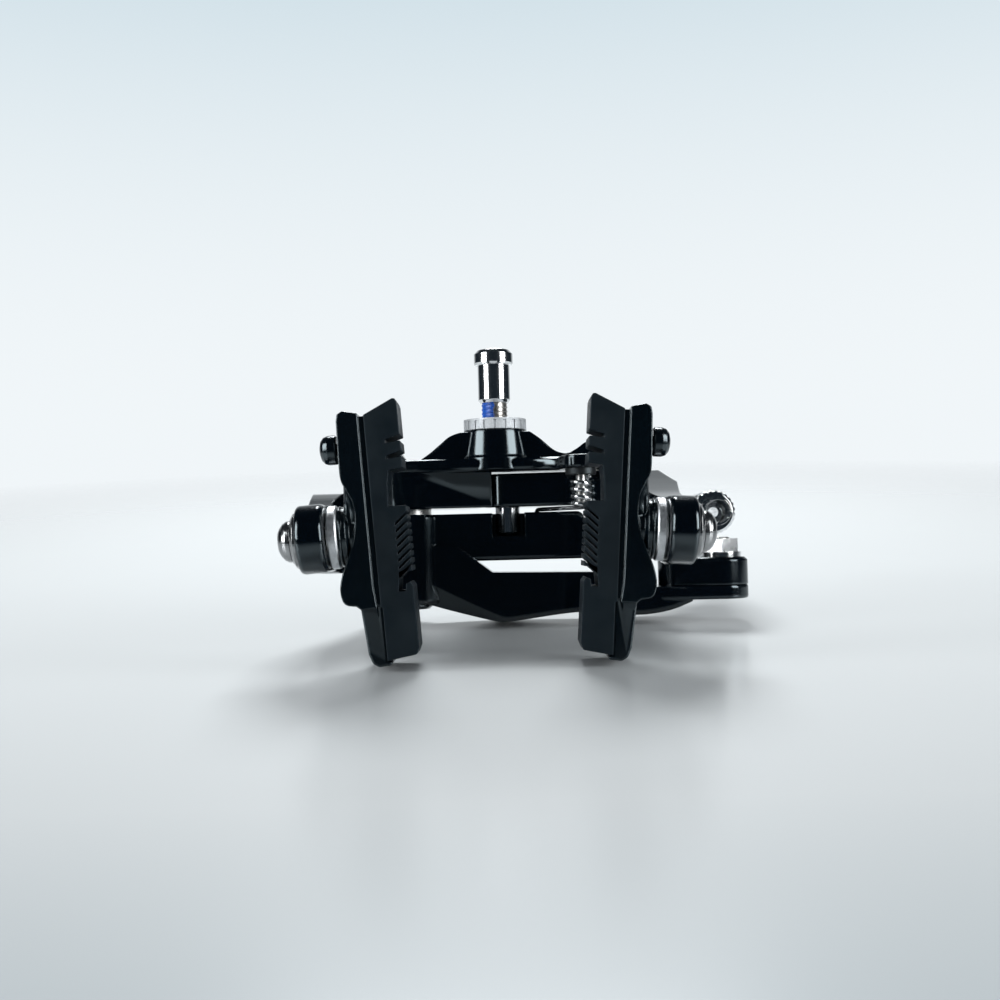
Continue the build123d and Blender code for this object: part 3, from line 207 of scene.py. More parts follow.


# Each coated material's paler edge colour is a painted edge highlight
ARM_BLACK = coated(
    "arm_black", (0.0006, 0.0022, 0.0048), (0.0009, 0.0030, 0.0060), edge_highlight=(0.05, 0.055, 0.06),
    rough=0.11, grain=2600.0, grain_strength=0.02, edge=0.0006, shine=0.8,
)
HOLDER_BLACK = coated(
    "holder_black", (0.0008, 0.0034, 0.0062), (0.0012, 0.0044, 0.0078), edge_highlight=(0.06, 0.07, 0.08),
    rough=0.17, grain=3200.0, grain_strength=0.06, edge=0.0004, shine=0.8,
)
RUBBER = coated(
    "pad_rubber", (0.0030, 0.0085, 0.0140), (0.0042, 0.0108, 0.0170), edge_highlight=(0.02, 0.03, 0.04),
    rough=0.50, grain=4200.0, grain_strength=0.18, edge=0.0003, shine=0.25,
)
SEAT_BLACK = coated(
    "seat_plastic", (0.010, 0.010, 0.011), (0.014, 0.014, 0.015), edge_highlight=(0.03, 0.03, 0.03),
    rough=0.42, grain=3000.0, grain_strength=0.12, edge=0.0003, shine=0.5,
)
DARK_STEEL = metal(
    "dark_steel", (0.34, 0.345, 0.35), (0.24, 0.245, 0.25), rough=0.18, grain=2200.0, grain_strength=0.06
)
BRIGHT = metal(
    "bright_steel", (0.80, 0.81, 0.82), (0.66, 0.67, 0.68), rough=0.11, grain=2200.0, grain_strength=0.05
)
SPRING = metal(
    "spring_wire", (0.76, 0.77, 0.78), (0.58, 0.59, 0.60), rough=0.16, grain=3000.0, grain_strength=0.08
)
STEEL = metal(
    "plain_steel", (0.52, 0.52, 0.51), (0.36, 0.35, 0.33), rough=0.30, grain=2600.0, grain_strength=0.15
)
PALE = metal(
    "pale_alloy", (0.58, 0.60, 0.62), (0.46, 0.48, 0.50), rough=0.66, grain=3600.0, grain_strength=0.30
)
CAST_PALE = metal(
    "cast_pale", (0.83, 0.85, 0.87), (0.60, 0.62, 0.64), rough=0.42, grain=2200.0, grain_strength=0.6,
    edge=0.0001,
)
BRONZE = metal(
    "bush_bronze", (0.62, 0.44, 0.22), (0.48, 0.33, 0.16), rough=0.32, grain=2400.0, grain_strength=0.12
)

LOCKER_EDGE_SPREAD = 0.0022
LOCKER_X = (0.0011, 0.0007)
LOCKER_Z = (-0.0006, 0.0002)


def bolt_material():
    """Plain steel, with dried blue thread-locker on the left of the bare thread."""
    made, tree, shader = new_material("bolt_steel")
    marks = noise(tree, grain=2600.0, detail=3.0)
    stain = ramp(tree, noise(tree, grain=300.0, detail=4.0), 0.4, 0.7)
    steel = blend_colour(tree, stain, (0.46, 0.45, 0.43), (0.30, 0.28, 0.26))
    axes = own_axes(tree, "Object")
    shifted = tree.nodes.new("ShaderNodeMath")
    shifted.operation = "MULTIPLY_ADD"
    tree.links.new(noise(tree, grain=700.0, detail=4.0), shifted.inputs[0])
    shifted.inputs[1].default_value = LOCKER_EDGE_SPREAD
    tree.links.new(axes["X"], shifted.inputs[2])
    left = ramp(tree, shifted.outputs["Value"], *LOCKER_X)
    above = ramp(tree, axes["Z"], *LOCKER_Z)
    patch = product(tree, left, above)
    blue = blend_colour(tree, ramp(tree, marks, 0.3, 0.7), (0.0, 0.075, 0.50), (0.0, 0.15, 0.74))
    tree.links.new(blend_colour(tree, patch, steel, blue), shader.inputs["Base Color"])
    tree.links.new(ramp(tree, patch, 0.0, 1.0, 1.0, 0.0), shader.inputs["Metallic"])
    tree.links.new(ramp(tree, patch, 0.0, 1.0, 0.30, 0.42), shader.inputs["Roughness"])
    relief(tree, shader, [(marks, 0.15, 0.00004)], 0.0002)
    return made


BOLT = bolt_material()

LOOKS = {
    "bracket": ARM_BLACK,
    "c_arm": ARM_BLACK,
    "y_arm": ARM_BLACK,
    "release_lever": ARM_BLACK,
    "pad_holder": HOLDER_BLACK,
    "pad_rubber": RUBBER,
    "pad_screw": HOLDER_BLACK,
    "cup_washer": HOLDER_BLACK,
    "ball_washer": CAST_PALE,
    "outer_washer": BRIGHT,
    "pad_bolt": BRIGHT,
    "sleeve_nut": BRIGHT,
    "link_pin": BRIGHT,
    "anchor_nut": BRIGHT,
    "clamp_washer": BRIGHT,
    "adjuster_screw": BRIGHT,
    "adjuster_ferrule": BRIGHT,
    "serrated_washer": PALE,
    "mounting_bolt": BOLT,
    "anchor_stud": STEEL,
    "centring_screw": STEEL,
    "pivot_bolt": ARM_BLACK,
    "spring_post": STEEL,
    "thrust_washer": STEEL,
    "pivot_bush": BRONZE,
    "spring_seat": SEAT_BLACK,
    "return_spring": SPRING,
}
for name, piece in nodes.items():
    key = name.removeprefix("left_").removeprefix("right_")
    piece.data.materials.clear()
    piece.data.materials.append(LOOKS[key])


# Pieces shaped here in place of plainer CAD nodes, in millimetres
ROUNDING_STEPS = 3
ROUNDING_ANGLE = math.radians(28)
SIDES = (("left", -1), ("right", 1))
STAND_INS = {}


def to_piece(name, verts, faces, look):
    """Object with a mesh from points in millimetres."""
    mesh = bpy.data.meshes.new(name)
    mesh.from_pydata([tuple(MM * value for value in spot) for spot in verts], [], faces)
    mesh.materials.append(look)
    mesh.validate()
    made = bpy.data.objects.new(name, mesh)
    scene.collection.objects.link(made)
    return made


def orient(piece):
    """Faces turned to the outside."""
    shape = bmesh.new()
    shape.from_mesh(piece.data)
    bmesh.ops.recalc_face_normals(shape, faces=shape.faces)
    shape.to_mesh(piece.data)
    shape.free()


def apply_all(piece):
    """Modifiers of a piece turned into its own mesh."""
    bpy.context.view_layer.update()
    depsgraph = bpy.context.evaluated_depsgraph_get()
    piece.data = bpy.data.meshes.new_from_object(piece.evaluated_get(depsgraph))
    piece.modifiers.clear()


def soften(piece, width):
    """Rounded edges, with shading that stays flat on the flats."""
    bevel = piece.modifiers.new("rounding", "BEVEL")
    bevel.width = width * MM
    bevel.segments = ROUNDING_STEPS
    bevel.limit_method = "ANGLE"
    bevel.angle_limit = ROUNDING_ANGLE
    bevel.harden_normals = True
    for polygon in piece.data.polygons:
        polygon.use_smooth = True
    apply_all(piece)


def prism(name, outline, place, low, high, look, rounding=0.0):
    """Outline in two coordinates, run from low to high along the third."""
    count = len(outline)
    verts = [place(a, b, depth) for depth in (low, high) for a, b in outline]
    faces = [tuple(range(count)), tuple(range(2 * count - 1, count - 1, -1))]
    for index in range(count):
        following = (index + 1) % count
        faces.append((following, index, count + index, count + following))
    made = to_piece(name, verts, faces, look)
    orient(made)
    if rounding:
        soften(made, rounding)
    return made


def lathe(name, profile, place, look, steps=64):
    """Closed profile of (radius, height) turned about an axis."""
    count = len(profile)
    verts = []
    for step in range(steps):
        angle = 2 * math.pi * step / steps
        for radius, height in profile:
            verts.append(place(radius * math.cos(angle), radius * math.sin(angle), height))
    faces = []
    for step in range(steps):
        here = step * count
        there = (step + 1) % steps * count
        for index in range(count):
            following = (index + 1) % count
            faces.append((here + index, here + following, there + following, there + index))
    made = to_piece(name, verts, faces, look)
    orient(made)
    return made


def loft(name, rings, look):
    """Closed piece through rings with the same count of points."""
    count = len(rings[0])
    verts = [spot for layer in rings for spot in layer]
    last = (len(rings) - 1) * count
    faces = [tuple(range(count)), tuple(range(last + count - 1, last - 1, -1))]
    for layer in range(len(rings) - 1):
        base = layer * count
        for index in range(count):
            following = (index + 1) % count
            faces.append((base + following, base + index, base + count + index, base + count + following))
    made = to_piece(name, verts, faces, look)
    orient(made)
    return made


def combine(piece, others, operation):
    """Boolean of closed pieces, one after another."""
    for other in others:
        step = piece.modifiers.new("combine", "BOOLEAN")
        step.operation = operation
        step.solver = "EXACT"
        step.object = other
        apply_all(piece)
        bpy.data.objects.remove(other)
    return piece


def join(piece, *others):
    """Union of closed pieces."""
    return combine(piece, others, "UNION")


def common(piece, *others):
    """What closed pieces share."""
    return combine(piece, others, "INTERSECT")


def cut(piece, *others):
    """Piece less the others."""
    return combine(piece, others, "DIFFERENCE")


def stand_in(made, body, node, slot):
    """Ride a shaped piece on its body in the node's place."""
    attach(made, body)
    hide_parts(node)
    STAND_INS[node] = made


# Outlines and the ways they are run
def smooth_line(points, steps=6):
    """Curve through points, as short runs (Catmull-Rom)."""
    line = []
    padded = [points[0], *points, points[-1]]
    for index in range(1, len(padded) - 2):
        before, start, end, after = padded[index - 1 : index + 3]
        for step in range(steps):
            part = step / steps
            spot = []
            for far, near, next_near, next_far in zip(before, start, end, after):
                slope_in = (next_near - far) / 2
                slope_out = (next_far - near) / 2
                spot.append(
                    (2 * part**3 - 3 * part**2 + 1) * near
                    + (part**3 - 2 * part**2 + part) * slope_in
                    + (3 * part**2 - 2 * part**3) * next_near
                    + (part**3 - part**2) * slope_out
                )
            line.append(tuple(spot))
    line.append(points[-1])
    return line


def arc(centre_x, centre_y, radius, first, last, steps=16):
    """Points on a circle from one angle to another, in degrees."""
    points = []
    for step in range(steps + 1):
        angle = math.radians(first + (last - first) * step / steps)
        points.append((centre_x + radius * math.cos(angle), centre_y + radius * math.sin(angle)))
    return points


def hexagon(centre_x, radius):
    """Corners of a hexagon."""
    return arc(centre_x, 0, radius, 0, 360, 6)[:-1]


def ring_profile(inner, outer, low, high, edge):
    """Lathe profile of a ring with chamfered outer edges."""
    return [
        (inner, low), (outer - edge, low), (outer, low + edge),
        (outer, high - edge), (outer - edge, high), (inner, high),
    ]


def upright(x, y, z):
    """Outline in plan, run along Z."""
    return x, y, z


def along_y(x, z, y):
    """Outline seen from the front, run along Y."""
    return x, y, z


def across(y, z, x):
    """Outline seen from the side, run along X."""
    return x, y, z


def about_z(centre_x):
    """Lathe about an upright axis."""
    return lambda a, b, height: (centre_x + a, b, height)


def about_y(centre_x, centre_z):
    """Lathe about an axis along Y."""
    return lambda a, b, height: (centre_x + a, height, centre_z + b)


# Pads: u runs outward along the stud, w up the pad, both from the stud's point in the arm
PAD_X = 38.5
PAD_Y = -44.0
PAD_Z = -28.3
TOE = math.radians(4)
PAD_HALF_Y = 5.5
SEAM_U = -13.3
FACE_U = -20.4
BOSS_U = -6.6
STUD_HOLE_R = 3.2
FACE_GAP = 0.02


def pad_place(side):
    """Map from pad coordinates (u, w, depth along Y) to millimetres."""

    def place(u, w, depth):
        x = side * (PAD_X + u * math.cos(TOE) + w * math.sin(TOE))
        return x, PAD_Y + depth, PAD_Z - u * math.sin(TOE) + w * math.cos(TOE)

    return place


def about_stud(side):
    """Lathe about a pad's stud."""
    place = pad_place(side)
    return lambda a, b, height: place(height, a, b)


def make_holder(side_name, side):
    """Holder: waisted flank, swollen below the stud, a boss at the stud, and a narrower foot."""
    place = pad_place(side)

    def layer(name, outline, inset, rounding=0.0):
        """Part of the holder, set in from the pad's width at both sides."""
        return prism(name, outline, place, inset - PAD_HALF_Y, PAD_HALF_Y - inset, HOLDER_BLACK, rounding)

    flank = smooth_line(
        [
            (-7.5, 20.0), (-7.4, 12.2), (-8.4, 9.3), (-9.5, 6.6), (-9.7, 3.6),
            (-9.3, 0.4), (-8.4, -2.6), (-7.3, -5.2), (-6.1, -7.8), (-5.4, -10.6),
            (-5.6, -13.0), (-6.5, -14.2), (-8.4, -14.6),
        ]
    )
    face = [
        (-12.1, 24.9), (-9.0, 25.6), (-7.9, 25.0), (-7.6, 23.6), *flank,
        (-9.3, -15.4), (-12.6, -15.4), (-12.1, -11.0),
    ]
    foot = [
        (SEAM_U - 0.4, -13.0), (-9.0, -13.0), (-9.3, -17.0), (-9.9, -24.6), (-10.6, -26.6),
        (-11.8, -27.4), (-14.3, -27.2), (-14.7, -26.6), (SEAM_U - 0.4, -26.2),
    ]
    core = [(-12.0, 13.4), (-7.9, 12.6), (-7.5, 6.0), (-7.0, -6.9), (-7.4, -9.5), (-12.0, -9.5)]
    strip = [(SEAM_U - 0.1, 24.2), (-11.6, 24.2), (-11.6, -14.8), (SEAM_U - 0.1, -14.8)]
    boss = [(0, -12.5), (5.0, -12.5), (5.0, -8.2), (6.2, -7.5), (6.2, BOSS_U), (0, BOSS_U)]
    return join(
        layer(f"{side_name}_holder", face, 0.0, 0.7),
        layer("foot", foot, 0.7, 0.5),
        layer("core", core, 1.2, 0.6),
        layer("strip", strip, 0.5),
        lathe("boss", boss, about_stud(side), HOLDER_BLACK),
    )


GROOVES = 8
GROOVE_PITCH = 1.5
GROOVE_WIDTH = 0.55
GROOVE_DEPTH = 2.6
GROOVE_FALL = GROOVE_DEPTH * math.tan(math.radians(40))
GROOVE_TOP_W = 3.9
SLOT_TOPS_W = (19.8, 16.5)


def make_rubber(side_name, side):
    """Rubber: pointed tip, two slots, a recess, slanted grooves and a hooked lower slot."""
    face = [(SEAM_U, 24.4), (-19.5, 27.3), (-20.1, 27.2), (FACE_U, 26.2)]
    for top in SLOT_TOPS_W:
        face += [(FACE_U, top), (-17.3, top - 0.9), (-17.2, top - 1.6), (FACE_U, top - 1.3)]
    face += [(FACE_U, 12.9), (-17.5, 12.6), (-17.0, 9.9), (-16.8, 5.3), (FACE_U, 5.1)]
    bed = FACE_U + GROOVE_DEPTH
    for groove in range(GROOVES):
        top = GROOVE_TOP_W - GROOVE_PITCH * groove
        face += [
            (FACE_U, top), (bed, top - GROOVE_FALL),
            (bed, top - GROOVE_FALL - GROOVE_WIDTH), (FACE_U, top - GROOVE_WIDTH),
        ]
    face += [
        (FACE_U, -8.3), (-17.8, -8.5), (-17.3, -12.3), (-18.7, -12.3), (-18.9, -10.9),
        (-19.8, -10.5), (FACE_U, -11.4), (FACE_U, -24.0), (-19.8, -25.4), (SEAM_U - 0.4, -26.2),
        (SEAM_U - 0.4, -15.4), (SEAM_U, -15.2),
    ]
    return prism(f"{side_name}_rubber", face, pad_place(side), -PAD_HALF_Y, PAD_HALF_Y, RUBBER, 0.16)


STACK_T = 3.1
SEAT_RING_T = 2.2
SEAT_RING_R = 6.6
SEAT_DISH_R = 6.4


def make_seats(side_name, side):
    """Bright thick washer against the arm, and the thin dark one on the holder's boss."""
    low = BOSS_U + STACK_T - SEAT_RING_T
    high = BOSS_U + STACK_T - FACE_GAP
    bright = [
        (STUD_HOLE_R, low), (SEAT_RING_R - 0.3, low), (SEAT_RING_R, low + 0.3),
        (SEAT_RING_R, high - 0.4), (SEAT_RING_R - 0.4, high), (STUD_HOLE_R, high),
    ]
    dark = [
        (STUD_HOLE_R, BOSS_U + FACE_GAP), (SEAT_DISH_R - 0.3, BOSS_U + FACE_GAP),
        (SEAT_DISH_R, BOSS_U + 0.3), (SEAT_DISH_R - 0.2, low - FACE_GAP), (STUD_HOLE_R, low - FACE_GAP),
    ]
    return (
        lathe(f"{side_name}_seat_ring", bright, about_stud(side), CAST_PALE),
        lathe(f"{side_name}_seat_dish", dark, about_stud(side), HOLDER_BLACK),
    )


# Levels and places of the bracket and the arms
LEFT_PIVOT_X = -22.5
RIGHT_PIVOT_X = 27.5
PIVOT_BORE_R = 5.1
BRACKET_TOP = -2.6
BRACKET_LOW = -13.0
PLATE_TOP = -9.7
Y_TOP = -13.4
Y_LOW = -21.4
C_TOP = -22.8
C_HUB_LOW = -44.0
LINK_X = 2.5
CABLE_X = 54.4
ADJUSTER_Z = -23.6

PIVOT_BOSS_R = 8.0
BOLT_HOLE_R = 3.05
WAIST_R = 8.8
WING_HALF_Y = 5.6
BEAM_HALF_Y = 6.4
LINK_CLEARANCE_R = 6.4
SPRING_X = 19.7
SPRING_Y = -14.0
TAB_R = 4.6
TAB_T = 3.0


def make_bracket():
    """Bracket: cone boss, rounded plate, wings that sweep down and rise again, deep left beam."""
    plate_outline = [
        *arc(RIGHT_PIVOT_X, 0, PIVOT_BOSS_R, -84, 84),
        *arc(0, 0, WAIST_R, 84, 96, 4),
        *arc(LEFT_PIVOT_X, 0, PIVOT_BOSS_R, 96, 264),
        *arc(0, 0, WAIST_R, 264, 276, 4),
    ]
    plate = prism("bracket_plate", plate_outline, upright, BRACKET_LOW, PLATE_TOP, ARM_BLACK, 1.1)
    left_ridge = smooth_line(
        [
            (-30.0, -10.6), (-28.6, -7.2), (-26.0, -5.7), (-23.6, -6.6), (-22.0, -8.9),
            (-19.9, -10.4), (-16.4, -8.5), (-13.5, -6.2), (-11.0, -4.2), (-8.2, -3.2),
        ]
    )
    right_ridge = smooth_line(
        [
            (8.2, -3.3), (10.8, -5.2), (14.2, -8.1), (17.1, -8.8), (19.4, -7.8),
            (21.8, -6.2), (25.0, -5.6), (30.0, -5.8), (33.4, -7.4), (35.0, -10.6),
        ]
    )
    ridge = [*left_ridge, *right_ridge, (35.0, -12.0), (-30.0, -12.0)]
    wings = prism("wings", ridge, along_y, -WING_HALF_Y, WING_HALF_Y, ARM_BLACK, 0.7)
    cone = [
        (BOLT_HOLE_R, BRACKET_LOW + 0.5), (9.6, BRACKET_LOW + 0.5), (9.3, PLATE_TOP + 0.1),
        (8.7, PLATE_TOP + 0.8), (7.9, BRACKET_TOP - 0.4), (7.5, BRACKET_TOP), (BOLT_HOLE_R, BRACKET_TOP),
    ]
    boss = lathe("boss", cone, upright, ARM_BLACK, 96)
    beam_outline = [
        (-4.4, BEAM_HALF_Y), *arc(LEFT_PIVOT_X, 0, PIVOT_BOSS_R - 0.4, 90, 270),
        (-1.1, -BEAM_HALF_Y), *arc(LINK_X, 0, LINK_CLEARANCE_R, 236, 180, 8), (-4.4, 0.5),
    ]
    beam = prism("beam", beam_outline, upright, Y_LOW, BRACKET_LOW + 0.4, ARM_BLACK, 0.5)
    tab_outline = [
        (SPRING_X - TAB_R - 1.5, -2), *arc(SPRING_X, SPRING_Y, TAB_R, 180, 360), (SPRING_X + TAB_R, -2),
    ]
    tab = prism("tab", tab_outline, upright, BRACKET_LOW, BRACKET_LOW + TAB_T, ARM_BLACK, 0.5)
    return join(plate, wings, boss, beam, tab)


# Arms: their pad ends, the C-arm's beam and lobe, and the Y-arm's two limbs
ARM_IN_U = BOSS_U + STACK_T
ARM_OUT_U = ARM_IN_U + 5.8
ARM_END_R = 7.1
SLOT_HALF = 5.0
BOLT_ROOM_R = 6.3
BOLT_ROOM_T = 8.0
SEAT_ROOM_R = 6.9
SEAT_ROOM_T = 6.0
RUN_OUT = 60.0


def stadium(radius, steps):
    """Outline that a circle sweeps along the stud's slot."""
    return [
        *arc(-SLOT_HALF, 0, radius, 90, 270, steps), *arc(SLOT_HALF, 0, radius, 270, 450, steps),
    ]


def make_arm_end(side):
    """Half-round pad end of an arm, the stud's slot, and the washers' room at both its faces."""
    place = pad_place(side)

    def on_end(depth, w, u):
        return place(u, w, depth)

    outline = [
        *arc(-4.1, 0, ARM_END_R, 90, 270, 20), *arc(8.0, 0, ARM_END_R, 270, 360, 8), (15.1, ARM_END_R),
    ]
    end = prism("arm_end", outline, on_end, ARM_IN_U, ARM_OUT_U, ARM_BLACK, 0.9)
    slot = prism("arm_slot", stadium(STUD_HOLE_R, 12), on_end, ARM_IN_U - 4, ARM_OUT_U + 4, ARM_BLACK)
    outer = stadium(BOLT_ROOM_R, 20)
    inner = stadium(SEAT_ROOM_R, 20)
    rooms = (
        prism("arm_room", outer, on_end, ARM_OUT_U, ARM_OUT_U + BOLT_ROOM_T, ARM_BLACK),
        prism("arm_room", inner, on_end, ARM_IN_U - SEAT_ROOM_T, ARM_IN_U, ARM_BLACK),
    )
    return end, slot, rooms


def make_limb(side, root_x, top, underside, root_low):
    """Lower limb of an arm: what its plan and its side outline share."""
    plan = [
        (side * (root_x + 9.8), 4.0), (side * 42.0, -14.0), (side * 40.9, -26.0), (side * 40.6, -40.0),
        (side * 35.6, -40.0), (side * 35.6, -33.0), (side * 33.8, -22.5), (side * (root_x + 3.5), -10.8),
        (side * (root_x - 5.5), -9.4), (side * (root_x - 5.5), 0.0),
    ]
    limb = prism("limb", plan, upright, -RUN_OUT, 0.0, ARM_BLACK)
    profile = [*top, (8.0, root_low), *underside]
    return common(limb, prism("side", profile, across, -RUN_OUT, RUN_OUT, ARM_BLACK))


BEAM_FRONT_Y = -7.4
BEAM_EDGE_Y = -6.0
CHAMFER_RISE = 1.0
CHAMFER_MORE_RISE = 5.0
CHAMFER_MORE_RUN = 2.6
CHAMFER_GROWS_FROM_X = 2.0
CHAMFER_GROWS_OVER = 22.0
ANCHOR_X = 53.4
ANCHOR_Y = -2.0
ARM_TIP_R = 6.6
ARM_TIP_LOW = -44.6
ARM_TIP_TOP = -41.2


def make_front_beam():
    """Front beam: keel, upswept ends and a chamfer on its lower front edge, broad at the left."""
    keel = smooth_line(
        [
            (-27.0, -42.0), (-18.1, -44.0), (-11.1, -46.0), (-1.0, -48.6), (1.8, -48.8), (7.0, -48.2),
            (14.0, -47.3), (20.0, -46.9), (28.0, -47.6), (34.5, -47.9), (41.0, -46.9), (46.0, -45.0),
        ],
        3,
    )
    upper = [
        (46.0, -41.3), (36.5, -41.3), (34.2, -37.6), (-1.4, -36.9), (-5.5, -33.8),
        (-9.5, -30.6), (-15.0, -30.2), (-27.0, -30.2),
    ]
    front, edge, back = [], [], []
    for x, z in keel:
        share = min(max((CHAMFER_GROWS_FROM_X - x) / CHAMFER_GROWS_OVER, 0.0), 1.0)
        rise = CHAMFER_RISE + CHAMFER_MORE_RISE * share
        front.append((x, BEAM_FRONT_Y, z + rise))
        edge.append((x, BEAM_EDGE_Y + CHAMFER_MORE_RUN * share, z))
        back.append((x, BEAM_HALF_Y, z))
    for x, z in upper:
        front.append((x, BEAM_FRONT_Y, z))
        edge.append((x, BEAM_EDGE_Y, z))
        back.append((x, BEAM_HALF_Y, z))
    beam = loft("c_arm_shape", [front, edge, back], ARM_BLACK)
    tip_outline = [
        (38.0, BEAM_HALF_Y), (38.0, BEAM_FRONT_Y), *arc(ANCHOR_X, ANCHOR_Y, ARM_TIP_R, -80, 80, 20),
    ]
    tip = prism("tip", tip_outline, upright, ARM_TIP_LOW, ARM_TIP_TOP, ARM_BLACK, 0.6)
    return join(beam, tip)


C_HUB_R = 10.0
C_LOBE_LOW = -34.1
C_LOBE_HALF_Y = 6.5
NOTCH_X = (-1.2, 6.5)
NOTCH_Y = (-15, 3.1)
NOTCH_LOW = -28.4


def make_c_arm():
    """C-arm: hub, rear lobe with the link pin's notch, front beam, lower limb with its end."""
    arm = make_front_beam()
    hub_ring = ring_profile(PIVOT_BORE_R, C_HUB_R, C_HUB_LOW, C_TOP, 0.7)
    hub = lathe("hub", hub_ring, about_z(LEFT_PIVOT_X), ARM_BLACK, 80)
    lobe_outline = [
        (LEFT_PIVOT_X, C_TOP), (19.7, C_TOP), (20.8, C_TOP - 1.2), (20.9, -26.4), (23.2, -28.6),
        (23.4, -32.6), (21.2, C_LOBE_LOW), (-4.0, C_LOBE_LOW), (LEFT_PIVOT_X, C_LOBE_LOW),
    ]
    lobe = prism("lobe", lobe_outline, along_y, -C_LOBE_HALF_Y, C_LOBE_HALF_Y, ARM_BLACK, 0.8)
    (left, right_side), (near, far) = NOTCH_X, NOTCH_Y
    notch_outline = [(left, near), (left, far), (right_side, far), (right_side, near)]
    cut(lobe, prism("notch", notch_outline, upright, NOTCH_LOW, C_TOP + 2.8, ARM_BLACK))
    top = smooth_line(
        [
            (-42.0, -21.4), (-36.0, -21.2), (-30.0, -19.2), (-24.0, -18.0), (-18.0, -19.4),
            (-11.0, C_TOP),
        ],
        4,
    )
    underside = [(-7.0, C_HUB_LOW), (-14.0, -42.0), (-22.0, -37.2), (-30.0, -35.4), (-42.0, -35.2)]
    limb = make_limb(-1, -LEFT_PIVOT_X, [*top, (8.0, C_TOP)], underside, C_HUB_LOW)
    front_outline = [
        (-46, 0), (-46, -35.6), (-34.5, -35.8), (-29.5, C_HUB_LOW), (-10, C_HUB_LOW), (-10, 0),
    ]
    common(limb, prism("front", front_outline, along_y, -RUN_OUT, 20, ARM_BLACK))
    end, slot, rooms = make_arm_end(-1)
    cut(limb, *rooms)
    join(arm, hub, lobe, limb, end)
    return cut(arm, slot)


Y_HUB_R = 9.5
LINK_LOBE_R = 5.8
ADJUSTER_BOSS_R = 5.5
ADJUSTER_BOSS_Y = (19, 31)
ADJUSTER_RING_R = 3.05
ADJUSTER_BORE_R = 3.25


def make_y_arm():
    """Y-arm: hub, lobe to the link pin, lower limb with its end, upper limb to the adjuster."""
    hub_ring = ring_profile(PIVOT_BORE_R, Y_HUB_R, Y_LOW, Y_TOP, 0.5)
    hub = lathe("y_arm_shape", hub_ring, about_z(RIGHT_PIVOT_X), ARM_BLACK, 80)
    lobe_end_x = RIGHT_PIVOT_X - 7.0
    lobe_outline = [*arc(LINK_X, 0, LINK_LOBE_R, 90, 270, 20), (lobe_end_x, -7.0), (lobe_end_x, 7.0)]
    lobe = prism("lobe", lobe_outline, upright, Y_LOW, Y_TOP, ARM_BLACK, 0.6)
    top = smooth_line(
        [
            (-42.0, -21.4), (-36.0, -21.3), (-30.0, -20.5), (-24.0, -19.4), (-17.0, -17.6),
            (-10.0, -15.6), (-3.0, Y_TOP),
        ],
        4,
    )
    underside = smooth_line(
        [
            (-9.0, Y_LOW), (-15.0, -23.6), (-22.0, -28.6), (-30.0, -34.0), (-36.0, -35.4),
            (-42.0, -35.4),
        ],
        4,
    )
    limb = make_limb(1, RIGHT_PIVOT_X, [*top, (8.0, Y_TOP)], underside, Y_LOW)
    near, far = ADJUSTER_BOSS_Y
    upper_plan = [
        (lobe_end_x, 5), (43, far), (CABLE_X + 4.5, far), (CABLE_X + 4.5, near), (47.5, near),
        (37.5, 1),
    ]
    upper = prism("upper", upper_plan, upright, -RUN_OUT, 0, ARM_BLACK)
    upper_front = [
        (19.5, Y_TOP), (29.5, Y_TOP), (37.0, -18.0), (46.4, -19.5), (54.4, -19.6), (60.4, -22.6),
        (60.4, -24.6), (54.4, -27.9), (46.4, -28.3), (34.5, Y_LOW), (19.5, Y_LOW),
    ]
    common(upper, prism("front", upper_front, along_y, -RUN_OUT, RUN_OUT, ARM_BLACK))
    cable_axis = about_y(CABLE_X, ADJUSTER_Z)
    boss_profile = ring_profile(ADJUSTER_RING_R, ADJUSTER_BOSS_R, near, far, 0.4)
    boss = lathe("boss", boss_profile, cable_axis, ARM_BLACK, 64)
    bore_profile = [(0, near - 4), (ADJUSTER_BORE_R, near - 4), (ADJUSTER_BORE_R, far + 4), (0, far + 4)]
    bore = lathe("bore", bore_profile, cable_axis, ARM_BLACK, 48)
    end, slot, rooms = make_arm_end(1)
    cut(limb, *rooms)
    join(hub, lobe, limb, upper, boss, end)
    return cut(hub, slot, bore)


# Fasteners at the pads and the left pivot
BOLT_WASHER_R = 5.8
BOLT_WASHER_T = 1.9
BOLT_SOCKET_R = 2.3


def make_pad_bolt(side_name, side):
    """Washer and domed head of a pad's bolt, with its hexagon socket, and its stud."""
    low = ARM_OUT_U + FACE_GAP
    high = ARM_OUT_U + BOLT_WASHER_T
    washer_profile = [
        (STUD_HOLE_R, low), (BOLT_WASHER_R - 0.4, low), (BOLT_WASHER_R, ARM_OUT_U + 0.4),
        (BOLT_WASHER_R, ARM_OUT_U + 1.2), (BOLT_WASHER_R - 1.0, high), (STUD_HOLE_R, high),
    ]
    washer = lathe(f"{side_name}_bolt_washer", washer_profile, about_stud(side), DARK_STEEL)
    head = high + FACE_GAP
    dome = [
        (0, BOSS_U + 0.1), (2.95, BOSS_U + 0.1), (2.95, head), (4.3, head), (4.4, head + 0.3),
        (4.3, head + 1.0), (3.9, head + 1.7), (3.1, head + 2.4), (2.5, head + 2.7),
        (BOLT_SOCKET_R, head + 2.8), (0, head + 2.8),
    ]
    bolt = lathe(f"{side_name}_bolt_shape", dome, about_stud(side), DARK_STEEL)
    outline = hexagon(0, BOLT_SOCKET_R)
    socket = prism("socket", outline, about_stud(side), head + 0.4, head + 4.0, DARK_STEEL)
    return washer, cut(bolt, socket)


SCREW_W = 18.2


